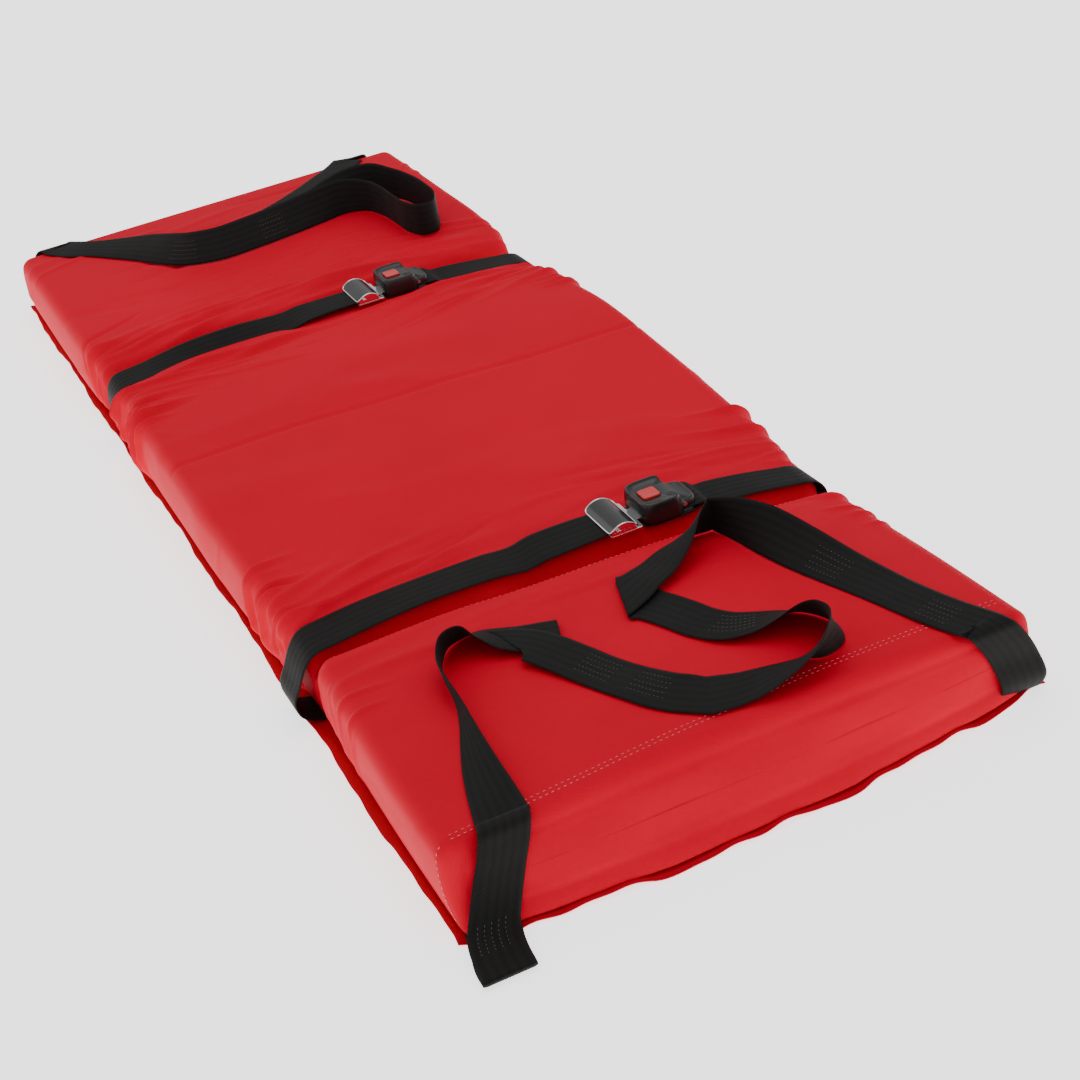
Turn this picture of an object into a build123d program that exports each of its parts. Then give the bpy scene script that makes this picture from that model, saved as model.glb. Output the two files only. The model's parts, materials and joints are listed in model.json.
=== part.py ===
from build123d import *
from math import atan2, degrees
import os

# Folding rescue mat: four foam panels in a coated cloth skin on a base sheet, two buckled belts
# and two carry straps. Millimetres. Origin: centre of the underside. +Y runs to the head end,
# +X to the buckle side, +Z up.

# ---- mat -----------------------------------------------------------------------------------
MAT_WIDTH = 610.0
MAT_LENGTH = 1700.0
MAT_TOP = 86.0
HEAD_FOLD_Y = 350.0
MID_FOLD_Y = -24.0
FOOT_FOLD_Y = -488.0

BASE_SHEET_THICKNESS = 2.0
BASE_SHEET_PROUD_SIDE = 12.0
BASE_SHEET_PROUD_END = 14.0
BASE_SHEET_CORNER = 12.0
BASE_SHEET_FOLD_GAP = 0.3
COVER_FLOOR = 5.0
COVER_WALL = 3.0
COVER_EDGE_RADIUS = 10.0
COVER_FOLD_GAP = 1.0
FOAM_CLEARANCE = 0.5

# ---- webbing -------------------------------------------------------------------------------
WEBBING_WIDTH = 50.0
WEBBING_THICKNESS = 2.0
WEBBING_UNDER_Z = 3.5
WEBBING_TOP_Z = MAT_TOP + 2.0
WEBBING_SIDE_GAP = 4.5
WEBBING_SEWN_IN = 90.0
BELT_BEND = 6.0
BELT_TAIL_RISE = 20.0
BELT_TRIM = 2.0
LOOSE_LOOP_OUT = 22.0
CHEST_BELT_Y = 306.0
LEG_BELT_Y = -458.0

# ---- tongue set (X positions along the belt) -----------------------------------------------
BRACKET_START_X = 43.0
BRACKET_END_X = 73.0
BRACKET_MID_X = (BRACKET_START_X + BRACKET_END_X) / 2
TONGUE_FLOOR_Z = 90.5
TONGUE_THICKNESS = 2.5
TONGUE_WIDTH = 60.0
TONGUE_SHOULDER_X = 81.0
BLADE_WIDTH = 26.0
BLADE_END_X = 112.0
BLADE_WINDOW = (8.0, 12.0)
BLADE_WINDOW_X = 103.0
BELT_IN_TONGUE_Z = 94.5
BELT_RAMP_X = (-62.0, -30.0)
BELT_END_X = 60.0
SIDE_PLATE_THICKNESS = 2.0
SIDE_PLATE_SHOULDER_Z = 96.0
SIDE_PLATE_CROWN_Z = 103.4
COVER_PLATE_GAP = 0.4
COVER_PLATE_THICKNESS = 1.6
COVER_PLATE_OVERHANG = 1.0
BAR_RADIUS = 2.4
BAR_CLEARANCE = 0.05
BAR_X = 51.0
BAR_Z = 98.2
BAR_LENGTH = 68.0
BAR_CHAMFER = 0.5
SIDE_PLATE_INSET = 0.5
CROWN_WEB = (9.0, 1.2)
CROWN_WEB_DROP = 1.6
BLADE_OVERLAP = 6.0
PLATE_CORNER = 3.0
BLADE_CORNER = 4.0
PLATE_EDGE = 0.6

# ---- buckle --------------------------------------------------------------------------------
BUCKLE_MOUTH_X = 84.0
BUCKLE_TAIL_X = 150.0
BUCKLE_MOUTH_WIDTH = 54.0
BUCKLE_WIDTH = 62.0
BUCKLE_TAIL_WIDTH = 56.0
BUCKLE_SEAM_Z = 89.0
BUCKLE_TOP_Z = 111.5
BUCKLE_TAIL_TOP_Z = 100.0
BUCKLE_WALL = 2.5
BUCKLE_EDGE = 4.0
BUCKLE_FLOOR_Z = 87.0
BUCKLE_FLOOR_INSET = 0.5
BUCKLE_FLOOR_CHAMFER = 0.6
BUCKLE_SEAM_GAP = 0.1
BUCKLE_MOUTH_RUN = 14.0
BUCKLE_TAIL_RUN = 22.0
BUCKLE_CORNER = 5.0
TAIL_SLOPE_RUN = 26.0
TAIL_SLOPE_PAST = 6.0
WEDGE_HEIGHT = 10.0
CUT_DEPTH = 20.0
MOUTH_SPARE = 3.0
MOUTH_HEIGHT = 12.0
TAIL_SLOT_HEIGHT = 11.0
BUTTON_X = 104.0
BUTTON_SIZE = 20.0
BUTTON_CLEARANCE = 0.4
BUTTON_PROUD = 1.0
BUTTON_UNDERSIDE_Z = 103.0
BUTTON_LIP = 2.0
BUTTON_LIP_THICKNESS = 1.5
BUTTON_TRAVEL_GAP = 0.3
SPRING_FLOOR_Z = 96.0
SPRING_RADIUS = 4.0
SPRING_WIRE_RADIUS = 0.4
SPRING_TURNS = 4
SPRING_GAP = 0.05
BUTTON_CORNER = 2.0
BUTTON_EDGE = 0.8
FRAME_THICKNESS = 1.2
FRAME_START_X = 88.0
FRAME_END_X = 142.0
FRAME_FLANGE_END_X = 124.0
FRAME_HALF_WIDTH = 17.0
FRAME_TAIL_HALF_WIDTH = 24.0
FRAME_FLANGE_TOP_Z = 101.0
FRAME_FLANGE_THICKNESS = 1.5
ANCHOR_BAR_X = 134.0
ANCHOR_BAR_Z = 96.2
ANCHOR_BAR_RADIUS = 2.3
ANCHOR_BELT_GAP = 0.4
ANCHOR_BELT_PAST = 6.0
LATCH_START_X = 92.0
LATCH_END_X = 118.0
LATCH_FLOOR_Z = 94.2
LATCH_THICKNESS = 1.4
LATCH_TOOTH_GAP = 0.3
LATCH_WIDTH = 20.0
LATCH_CORNER = 2.0
LATCH_TOOTH_LENGTH = 3.0
LATCH_TOOTH_MARGIN = 2.0

# ---- carry straps: routes on the mat's top (X, Y), hand placed ------------------------------
STRAP_REST_Z = MAT_TOP + 0.6
STRAP_PLAN_WIDTH = 44.0
STRAP_END_GAP = 5.0
STRAP_ANCHOR_X = 285.0
STRAP_BEND = 2.5
STRAP_SEWN_PAST = 12.0
STRAP_FACE_START_Z = 12.0
FLOOR_LOOP_PAST = 10.0
FLOOR_LOOP_LOW_Z = 1.6
FLOOR_LOOP_HIGH_Z = 9.0
FLOOR_LOOP_RETURN_Z = 10.0
EDGE_ON_WALL = 5.0
EDGE_ON_HEIGHT = 44.0
FLOOR_LOOP_REACH = 72.0

HALF_LENGTH = MAT_LENGTH / 2
HALF_WIDTH = MAT_WIDTH / 2
FOOT_STRAP_ROUTE = [
    (-240, -854), (-205, -675), (-194, -600), (-160, -566), (-62, -590), (-45, -700), (-5, -800),
    (125, -790), (104, -742), (40, -720), (0, -570), (136, -520), (198, -570), (232, -680), (285, -854),
]
FOOT_STRAP_LEFT_LOOP = [(-205, -675), (-194, -600), (-160, -566), (-100, -580)]
FOOT_STRAP_RIGHT_LOOP = [(60, -806), (125, -790), (104, -742), (60, -728)]
HEAD_STRAP_ROUTE = [
    (-250, 854), (-160, 690), (-60, 610), (60, 600), (180, 570), (250, 500), (262, 580),
    (200, 655), (60, 650), (170, 720), (262, 854),
]
HEAD_STRAP_RIGHT_LOOP = [(180, 545), (238, 492), (262, 520), (262, 590), (205, 650)]

PANELS = {
    "head": (HEAD_FOLD_Y, HALF_LENGTH),
    "torso": (MID_FOLD_Y, HEAD_FOLD_Y),
    "leg": (FOOT_FOLD_Y, MID_FOLD_Y),
    "foot": (-HALF_LENGTH, FOOT_FOLD_Y),
}
BELTS = {"chest": CHEST_BELT_Y, "leg": LEG_BELT_Y}

os.makedirs("parts", exist_ok=True)


def save(part, name):
    """Label a finished piece and write it as its own STEP file."""
    part.label = name
    export_step(part, f"parts/{name}.step")


# ---- panels --------------------------------------------------------------------------------
def rounded_block(half_x, y_low, y_high, z_low, z_high, radius):
    """A block with rounded upright corners and a rounded top rim."""
    with BuildPart() as block:
        with BuildSketch(Plane.XY.offset(z_low)):
            with Locations((0, (y_low + y_high) / 2)):
                RectangleRounded(2 * half_x, y_high - y_low, radius)
        extrude(amount=z_high - z_low)
        fillet(block.faces().sort_by(Axis.Z)[-1].edges(), 0.9 * radius)
    return block.part


def make_cover(y_low, y_high):
    """Cloth skin of one panel: a closed shell round its foam."""
    low, high = y_low + COVER_FOLD_GAP, y_high - COVER_FOLD_GAP
    inset = COVER_WALL
    outer = rounded_block(HALF_WIDTH, low, high, COVER_FLOOR, MAT_TOP, COVER_EDGE_RADIUS)
    inner = rounded_block(
        HALF_WIDTH - inset, low + inset, high - inset,
        COVER_FLOOR + inset, MAT_TOP - inset, COVER_EDGE_RADIUS - inset,
    )
    with BuildPart() as cover:
        add(outer)
        add(inner, mode=Mode.SUBTRACT)
    return cover.part


def make_foam(y_low, y_high):
    """Foam block that fills one panel's skin."""
    inset = COVER_WALL + FOAM_CLEARANCE
    low, high = y_low + COVER_FOLD_GAP + inset, y_high - COVER_FOLD_GAP - inset
    radius = COVER_EDGE_RADIUS - inset
    return rounded_block(HALF_WIDTH - inset, low, high, COVER_FLOOR + inset, MAT_TOP - inset, radius)


def make_base_sheet(y_low, y_high):
    """Ground sheet of one panel, proud of the mat at the sides and at the mat's own ends."""
    at_foot_end = y_low == -HALF_LENGTH
    at_head_end = y_high == HALF_LENGTH
    low = y_low - BASE_SHEET_PROUD_END if at_foot_end else y_low + BASE_SHEET_FOLD_GAP
    high = y_high + BASE_SHEET_PROUD_END if at_head_end else y_high - BASE_SHEET_FOLD_GAP
    with BuildPart() as sheet:
        with BuildSketch():
            with Locations((0, (low + high) / 2)):
                Rectangle(MAT_WIDTH + 2 * BASE_SHEET_PROUD_SIDE, high - low)
        extrude(amount=BASE_SHEET_THICKNESS)
        uprights = sheet.edges().filter_by(Axis.Z).sort_by(Axis.Y)
        if at_foot_end:
            fillet(uprights[:2], BASE_SHEET_CORNER)
        if at_head_end:
            fillet(uprights[-2:], BASE_SHEET_CORNER)
    return sheet.part


for panel, (y_low, y_high) in PANELS.items():
    save(make_cover(y_low, y_high), f"{panel}_cover")
    save(make_foam(y_low, y_high), f"{panel}_foam")
    save(make_base_sheet(y_low, y_high), f"{panel}_base_sheet")


# ---- belts ---------------------------------------------------------------------------------
def ribbon(points, plane, width, bend):
    """Webbing whose side view is a bent line of the webbing's thickness, carried across its width."""
    with BuildPart() as webbing:
        with BuildSketch(plane):
            with BuildLine():
                FilletPolyline(*points, radius=bend)
            trace(line_width=WEBBING_THICKNESS)
        extrude(amount=width)
    return webbing.part


def belt_plane(belt_y):
    """Upright plane across the mat at the head-side edge of a belt."""
    return Plane.XZ.offset(-(belt_y + WEBBING_WIDTH / 2))


def make_long_belt(belt_y, slack):
    """Left webbing: sewn in under the skin, up the side, over the top and through the tongue set."""
    side_x = -(HALF_WIDTH + WEBBING_SIDE_GAP)
    points = [
        (side_x + WEBBING_SEWN_IN, WEBBING_UNDER_Z),
        (side_x - slack, WEBBING_UNDER_Z),
        (side_x - 0.4 * slack, 0.6 * MAT_TOP),
        (side_x, WEBBING_TOP_Z),
        (BELT_RAMP_X[0], WEBBING_TOP_Z),
        (BELT_RAMP_X[1], BELT_IN_TONGUE_Z),
        (BELT_END_X, BELT_IN_TONGUE_Z),
    ]
    if slack == 0:
        del points[2]
    return ribbon(points, belt_plane(belt_y), WEBBING_WIDTH, BELT_BEND)


def make_short_belt(belt_y):
    """Right webbing: sewn in under the skin, up the side and into the buckle's tail."""
    side_x = HALF_WIDTH + WEBBING_SIDE_GAP
    tail_z = ANCHOR_BAR_Z - ANCHOR_BAR_RADIUS - WEBBING_THICKNESS / 2 - ANCHOR_BELT_GAP
    points = [
        (side_x - WEBBING_SEWN_IN, WEBBING_UNDER_Z),
        (side_x, WEBBING_UNDER_Z),
        (side_x, WEBBING_TOP_Z),
        (BUCKLE_TAIL_X + BELT_TAIL_RISE, WEBBING_TOP_Z),
        (BUCKLE_TAIL_X + BELT_TRIM, tail_z),
        (ANCHOR_BAR_X - ANCHOR_BELT_PAST, tail_z),
    ]
    return ribbon(points, belt_plane(belt_y), WEBBING_WIDTH - BELT_TRIM, BELT_BEND)


# ---- tongue set ----------------------------------------------------------------------------
def make_tongue_plate(belt_y):
    """Flat pressed plate: the bracket's floor, a shoulder and the windowed blade."""
    with BuildPart() as plate:
        with BuildSketch(Plane.XY.offset(TONGUE_FLOOR_Z)):
            floor_length = TONGUE_SHOULDER_X - BRACKET_START_X
            with Locations((BRACKET_START_X + floor_length / 2, belt_y)):
                RectangleRounded(floor_length, TONGUE_WIDTH, PLATE_CORNER)
            with Locations(((TONGUE_SHOULDER_X + BLADE_END_X - BLADE_OVERLAP) / 2, belt_y)):
                RectangleRounded(BLADE_END_X - TONGUE_SHOULDER_X + BLADE_OVERLAP, BLADE_WIDTH, BLADE_CORNER)
            with Locations((BLADE_WINDOW_X, belt_y)):
                Rectangle(*BLADE_WINDOW, mode=Mode.SUBTRACT)
        extrude(amount=TONGUE_THICKNESS)
        fillet(plate.faces().sort_by(Axis.Z)[-1].outer_wire().edges(), PLATE_EDGE)
    return plate.part


def make_bracket(belt_y):
    """Two arched side plates and the web that ties them under the cover plate's crown."""
    plate_floor = TONGUE_FLOOR_Z + TONGUE_THICKNESS
    outer_y = TONGUE_WIDTH / 2
    start, end = BRACKET_START_X + SIDE_PLATE_INSET, BRACKET_END_X - SIDE_PLATE_INSET
    with BuildPart() as bracket:
        for far_side in (-outer_y + SIDE_PLATE_THICKNESS, outer_y):
            with BuildSketch(Plane.XZ.offset(-(belt_y + far_side))):
                with BuildLine():
                    Polyline(
                        (start, SIDE_PLATE_SHOULDER_Z),
                        (start, plate_floor),
                        (end, plate_floor),
                        (end, SIDE_PLATE_SHOULDER_Z),
                    )
                    ThreePointArc(
                        (end, SIDE_PLATE_SHOULDER_Z),
                        (BRACKET_MID_X, SIDE_PLATE_CROWN_Z),
                        (start, SIDE_PLATE_SHOULDER_Z),
                    )
                make_face()
            extrude(amount=SIDE_PLATE_THICKNESS)
        with Locations((BRACKET_MID_X, belt_y, SIDE_PLATE_CROWN_Z - CROWN_WEB_DROP)):
            Box(CROWN_WEB[0], TONGUE_WIDTH - SIDE_PLATE_THICKNESS, CROWN_WEB[1])
        with BuildSketch(Plane.XZ.offset(-(belt_y + outer_y))):
            with Locations((BAR_X, BAR_Z)):
                Circle(BAR_RADIUS + BAR_CLEARANCE)
        extrude(amount=TONGUE_WIDTH, mode=Mode.SUBTRACT)
    return bracket.part


def make_cover_plate(belt_y):
    """Curved lacquered plate that caps the bracket, an arch along the belt."""
    half_span = (BRACKET_END_X - BRACKET_START_X) / 2
    width = TONGUE_WIDTH + 2 * COVER_PLATE_OVERHANG
    inner, outer = COVER_PLATE_GAP, COVER_PLATE_GAP + COVER_PLATE_THICKNESS
    with BuildPart() as plate:
        with BuildSketch(Plane.XZ.offset(-(belt_y + width / 2))):
            with BuildLine():
                lower = ThreePointArc(
                    (BRACKET_MID_X - half_span - inner, SIDE_PLATE_SHOULDER_Z),
                    (BRACKET_MID_X, SIDE_PLATE_CROWN_Z + inner),
                    (BRACKET_MID_X + half_span + inner, SIDE_PLATE_SHOULDER_Z),
                )
                upper = ThreePointArc(
                    (BRACKET_MID_X - half_span - outer, SIDE_PLATE_SHOULDER_Z),
                    (BRACKET_MID_X, SIDE_PLATE_CROWN_Z + outer),
                    (BRACKET_MID_X + half_span + outer, SIDE_PLATE_SHOULDER_Z),
                )
                Line(lower @ 0, upper @ 0)
                Line(lower @ 1, upper @ 1)
            make_face()
        extrude(amount=width)
    return plate.part


def make_locking_bar(belt_y):
    """Round bar through both side plates that grips the webbing."""
    with BuildPart() as bar:
        with BuildSketch(Plane.XZ.offset(-(belt_y + BAR_LENGTH / 2))):
            with Locations((BAR_X, BAR_Z)):
                Circle(BAR_RADIUS)
        extrude(amount=BAR_LENGTH)
        chamfer(bar.edges().filter_by(GeomType.CIRCLE), BAR_CHAMFER)
    return bar.part


# ---- buckle --------------------------------------------------------------------------------
def buckle_outline(belt_y, inset):
    """Plan of the housing: rounded mouth, full middle, narrower tail."""
    half_mouth = BUCKLE_MOUTH_WIDTH / 2 - inset
    half_wide = BUCKLE_WIDTH / 2 - inset
    half_tail = BUCKLE_TAIL_WIDTH / 2 - inset
    start, end = BUCKLE_MOUTH_X + inset, BUCKLE_TAIL_X - inset
    wide_start, wide_end = start + BUCKLE_MOUTH_RUN, end - BUCKLE_TAIL_RUN
    corners = [
        (start, -half_mouth), (wide_start, -half_wide), (wide_end, -half_wide), (end, -half_tail),
        (end, half_tail), (wide_end, half_wide), (wide_start, half_wide), (start, half_mouth),
    ]
    with BuildSketch() as outline:
        with BuildLine():
            FilletPolyline(*[(x, belt_y + y) for x, y in corners], radius=BUCKLE_CORNER, close=True)
        make_face()
    return outline.sketch


def sloped_tail_cut(belt_y, drop):
    """Wedge that takes the tail's top down to its end; drop lowers it for the hollow inside."""
    start, end = BUCKLE_TAIL_X - TAIL_SLOPE_RUN, BUCKLE_TAIL_X + TAIL_SLOPE_PAST
    above = BUCKLE_TOP_Z + WEDGE_HEIGHT
    with BuildPart() as wedge:
        with BuildSketch(Plane.XZ.offset(-(belt_y + BUCKLE_WIDTH))):
            with BuildLine():
                Polyline(
                    (start, BUCKLE_TOP_Z - drop), (end, BUCKLE_TAIL_TOP_Z - drop),
                    (end, above), (start, above), close=True,
                )
            make_face()
        extrude(amount=2 * BUCKLE_WIDTH)
    return wedge.part


def housing_block(belt_y, inset, floor_z, top_z, edge_radius):
    """Solid form of the housing, used full size for the outside and inset for the hollow."""
    with BuildPart() as block:
        with BuildSketch(Plane.XY.offset(floor_z)):
            add(buckle_outline(belt_y, inset))
        extrude(amount=top_z - floor_z)
        fillet(block.faces().sort_by(Axis.Z)[-1].edges(), edge_radius)
        add(sloped_tail_cut(belt_y, inset), mode=Mode.SUBTRACT)
    return block.part


def make_housing_top(belt_y):
    """Moulded upper shell with the button's window, the blade's mouth and the webbing's slot."""
    with BuildPart() as shell:
        add(housing_block(belt_y, 0, BUCKLE_SEAM_Z, BUCKLE_TOP_Z, BUCKLE_EDGE))
        hollow_top = BUCKLE_TOP_Z - BUCKLE_WALL
        hollow = housing_block(belt_y, BUCKLE_WALL, BUCKLE_SEAM_Z, hollow_top, BUCKLE_EDGE - BUCKLE_WALL)
        add(hollow, mode=Mode.SUBTRACT)
        window = BUTTON_SIZE + 2 * BUTTON_CLEARANCE
        with Locations((BUTTON_X, belt_y, BUCKLE_TOP_Z)):
            Box(window, window, 4 * BUCKLE_WALL, mode=Mode.SUBTRACT)
        with Locations((BUCKLE_MOUTH_X, belt_y, BUCKLE_SEAM_Z)):
            Box(CUT_DEPTH, BLADE_WIDTH + MOUTH_SPARE, MOUTH_HEIGHT, mode=Mode.SUBTRACT)
        with Locations((BUCKLE_TAIL_X, belt_y, BUCKLE_SEAM_Z)):
            Box(CUT_DEPTH, WEBBING_WIDTH, TAIL_SLOT_HEIGHT, mode=Mode.SUBTRACT)
    return shell.part


def make_housing_bottom(belt_y):
    """Flat lower shell that closes the housing."""
    with BuildPart() as floor:
        with BuildSketch(Plane.XY.offset(BUCKLE_FLOOR_Z)):
            add(buckle_outline(belt_y, BUCKLE_FLOOR_INSET))
        extrude(amount=BUCKLE_SEAM_Z - BUCKLE_FLOOR_Z - BUCKLE_SEAM_GAP)
        chamfer(floor.faces().sort_by(Axis.Z)[0].edges(), BUCKLE_FLOOR_CHAMFER)
    return floor.part


def make_buckle_frame(belt_y):
    """Pressed steel channel that takes the load from blade to webbing."""
    length = FRAME_END_X - FRAME_START_X
    flange_length = FRAME_FLANGE_END_X - FRAME_START_X
    flange_height = FRAME_FLANGE_TOP_Z - BUCKLE_SEAM_Z
    flange_y = FRAME_HALF_WIDTH - FRAME_FLANGE_THICKNESS / 2
    with BuildPart() as frame:
        with BuildSketch(Plane.XY.offset(BUCKLE_SEAM_Z)):
            with Locations((FRAME_START_X + length / 2, belt_y)):
                Rectangle(length, 2 * FRAME_HALF_WIDTH)
            with Locations((ANCHOR_BAR_X, belt_y)):
                Rectangle(2 * (FRAME_END_X - ANCHOR_BAR_X), 2 * FRAME_TAIL_HALF_WIDTH)
        extrude(amount=FRAME_THICKNESS)
        with BuildSketch(Plane.XY.offset(BUCKLE_SEAM_Z)):
            for side in (-1, 1):
                with Locations((FRAME_START_X + flange_length / 2, belt_y + side * flange_y)):
                    Rectangle(flange_length, FRAME_FLANGE_THICKNESS)
        extrude(amount=flange_height)
    return frame.part


def make_anchor_bar(belt_y):
    """Cross bar in the tail that the short webbing is looped round."""
    with BuildPart() as bar:
        with BuildSketch(Plane.XZ.offset(-(belt_y + FRAME_TAIL_HALF_WIDTH))):
            with Locations((ANCHOR_BAR_X, ANCHOR_BAR_Z)):
                Circle(ANCHOR_BAR_RADIUS)
        extrude(amount=2 * FRAME_TAIL_HALF_WIDTH)
    return bar.part


def make_latch(belt_y):
    """Latch plate over the blade, with its tooth held just clear of the blade."""
    tooth_floor = TONGUE_FLOOR_Z + TONGUE_THICKNESS + LATCH_TOOTH_GAP
    with BuildPart() as latch:
        with BuildSketch(Plane.XY.offset(LATCH_FLOOR_Z)):
            with Locations(((LATCH_START_X + LATCH_END_X) / 2, belt_y)):
                RectangleRounded(LATCH_END_X - LATCH_START_X, LATCH_WIDTH, LATCH_CORNER)
        extrude(amount=LATCH_THICKNESS)
        with BuildSketch(Plane.XY.offset(tooth_floor)):
            with Locations((BLADE_WINDOW_X, belt_y)):
                Rectangle(LATCH_TOOTH_LENGTH, BLADE_WINDOW[1] - LATCH_TOOTH_MARGIN)
        extrude(amount=LATCH_FLOOR_Z + LATCH_THICKNESS - tooth_floor)
    return latch.part


def make_button(belt_y):
    """Square push button with a lip that stops under the housing's window."""
    lip_top = BUCKLE_TOP_Z - BUCKLE_WALL - BUTTON_TRAVEL_GAP
    with BuildPart() as button:
        with BuildSketch(Plane.XY.offset(BUTTON_UNDERSIDE_Z)):
            with Locations((BUTTON_X, belt_y)):
                RectangleRounded(BUTTON_SIZE, BUTTON_SIZE, BUTTON_CORNER)
        extrude(amount=BUCKLE_TOP_Z + BUTTON_PROUD - BUTTON_UNDERSIDE_Z)
        fillet(button.faces().sort_by(Axis.Z)[-1].edges(), BUTTON_EDGE)
        with BuildSketch(Plane.XY.offset(lip_top - BUTTON_LIP_THICKNESS)):
            with Locations((BUTTON_X, belt_y)):
                Rectangle(BUTTON_SIZE + 2 * BUTTON_LIP, BUTTON_SIZE + 2 * BUTTON_LIP)
        extrude(amount=BUTTON_LIP_THICKNESS)
    return button.part


def make_button_spring(belt_y):
    """Coil spring between the latch plate and the button."""
    wire_margin = SPRING_WIRE_RADIUS + SPRING_GAP
    height = BUTTON_UNDERSIDE_Z - SPRING_FLOOR_Z - 2 * wire_margin
    with BuildPart() as spring:
        with BuildLine(Plane((BUTTON_X, belt_y, SPRING_FLOOR_Z + wire_margin))):
            coil = Helix(pitch=height / SPRING_TURNS, height=height, radius=SPRING_RADIUS)
        with BuildSketch(Plane(origin=coil @ 0, z_dir=coil % 0)):
            Circle(SPRING_WIRE_RADIUS)
        sweep(path=coil)
    return spring.part


for belt, belt_y in BELTS.items():
    save(make_long_belt(belt_y, LOOSE_LOOP_OUT if belt == "leg" else 0), f"{belt}_belt_long")
    save(make_short_belt(belt_y), f"{belt}_belt_short")
    save(make_tongue_plate(belt_y), f"{belt}_tongue_plate")
    save(make_bracket(belt_y), f"{belt}_tongue_bracket")
    save(make_cover_plate(belt_y), f"{belt}_tongue_cover_plate")
    save(make_locking_bar(belt_y), f"{belt}_locking_bar")
    save(make_housing_top(belt_y), f"{belt}_buckle_housing_top")
    save(make_housing_bottom(belt_y), f"{belt}_buckle_housing_bottom")
    save(make_buckle_frame(belt_y), f"{belt}_buckle_frame")
    save(make_anchor_bar(belt_y), f"{belt}_anchor_bar")
    save(make_latch(belt_y), f"{belt}_latch")
    save(make_button(belt_y), f"{belt}_button")
    save(make_button_spring(belt_y), f"{belt}_button_spring")


# ---- carry straps --------------------------------------------------------------------------
def strap_end(end, side, loop_reach):
    """Strap end: sewn in under the skin, out past the mat's end and up to the top rim.
    end is +1 at the head and -1 at the foot; loop_reach is the slack that lies on the ground."""
    face_y = end * (HALF_LENGTH + STRAP_END_GAP)
    sewn_y = face_y - end * WEBBING_SEWN_IN
    if loop_reach:
        tip_y = face_y + end * (loop_reach + FLOOR_LOOP_PAST)
        points = [
            (sewn_y, WEBBING_UNDER_Z), (face_y + end * STRAP_SEWN_PAST, WEBBING_UNDER_Z),
            (tip_y, FLOOR_LOOP_LOW_Z), (tip_y, FLOOR_LOOP_HIGH_Z),
            (face_y, FLOOR_LOOP_RETURN_Z), (face_y, MAT_TOP / 2),
        ]
    else:
        points = [(sewn_y, WEBBING_UNDER_Z), (face_y, WEBBING_UNDER_Z), (face_y, MAT_TOP / 2)]
    plane = Plane.YZ.offset(side * STRAP_ANCHOR_X - WEBBING_WIDTH / 2)
    return ribbon(points, plane, WEBBING_WIDTH, STRAP_BEND)


def strap_face_run(end, side, top_x):
    """Strap on the mat's end face, leaning from its sewn corner to where it goes over the rim."""
    near_y = end * (HALF_LENGTH + STRAP_END_GAP) + WEBBING_THICKNESS / 2
    with BuildPart() as run:
        with BuildSketch(Plane.XZ.offset(-near_y)):
            with BuildLine():
                Line((side * STRAP_ANCHOR_X, STRAP_FACE_START_Z), (top_x, STRAP_REST_Z + WEBBING_THICKNESS))
            trace(line_width=WEBBING_WIDTH)
            with Locations((0, -WEBBING_WIDTH / 2 + WEBBING_UNDER_Z)):
                Rectangle(MAT_WIDTH * 2, WEBBING_WIDTH, mode=Mode.SUBTRACT)
            with Locations((0, STRAP_REST_Z + WEBBING_THICKNESS + WEBBING_WIDTH / 2)):
                Rectangle(MAT_WIDTH * 2, WEBBING_WIDTH, mode=Mode.SUBTRACT)
        extrude(amount=WEBBING_THICKNESS)
    return run.part


def strap_plan(route, width, height):
    """Strap on the mat's top: the route seen from above, as a band of one width and height."""
    with BuildPart() as band:
        with BuildSketch(Plane.XY.offset(STRAP_REST_Z)):
            for start, end in zip(route, route[1:]):
                stretch = Vector(*end) - Vector(*start)
                middle = (Vector(*start) + Vector(*end)) / 2
                with Locations(middle):
                    turn = degrees(atan2(stretch.Y, stretch.X))
                    SlotCenterToCenter(stretch.length, width, rotation=turn)
        extrude(amount=height)
    return band.part


def make_carry_strap(end, route, edge_on_stretches, loop_reach):
    """One carry strap: two sewn ends, two face runs, the flat band and its edge-on loops."""
    with BuildPart() as strap:
        add(strap_plan(route, STRAP_PLAN_WIDTH, WEBBING_THICKNESS))
        for stretch in edge_on_stretches:
            add(strap_plan(stretch, EDGE_ON_WALL, EDGE_ON_HEIGHT))
        for side, top_point in ((-1, route[0]), (1, route[-1])):
            add(strap_face_run(end, side, top_point[0]))
            add(strap_end(end, side, loop_reach if side == -1 else 0))
    return strap.part


save(make_carry_strap(1, HEAD_STRAP_ROUTE, [HEAD_STRAP_RIGHT_LOOP], 0), "head_carry_strap")
save(
    make_carry_strap(-1, FOOT_STRAP_ROUTE, [FOOT_STRAP_LEFT_LOOP, FOOT_STRAP_RIGHT_LOOP], FLOOR_LOOP_REACH),
    "foot_carry_strap",
)
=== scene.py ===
# %% [markdown]
# # A folding rescue mat in four padded panels
# The mat is a row of four foam blocks in one red coated skin, with two buckled belts across it and
# a carry strap at each end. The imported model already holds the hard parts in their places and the
# joints between the panels. This file dresses it: skin, ground sheet, webbing and hardware.

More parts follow.
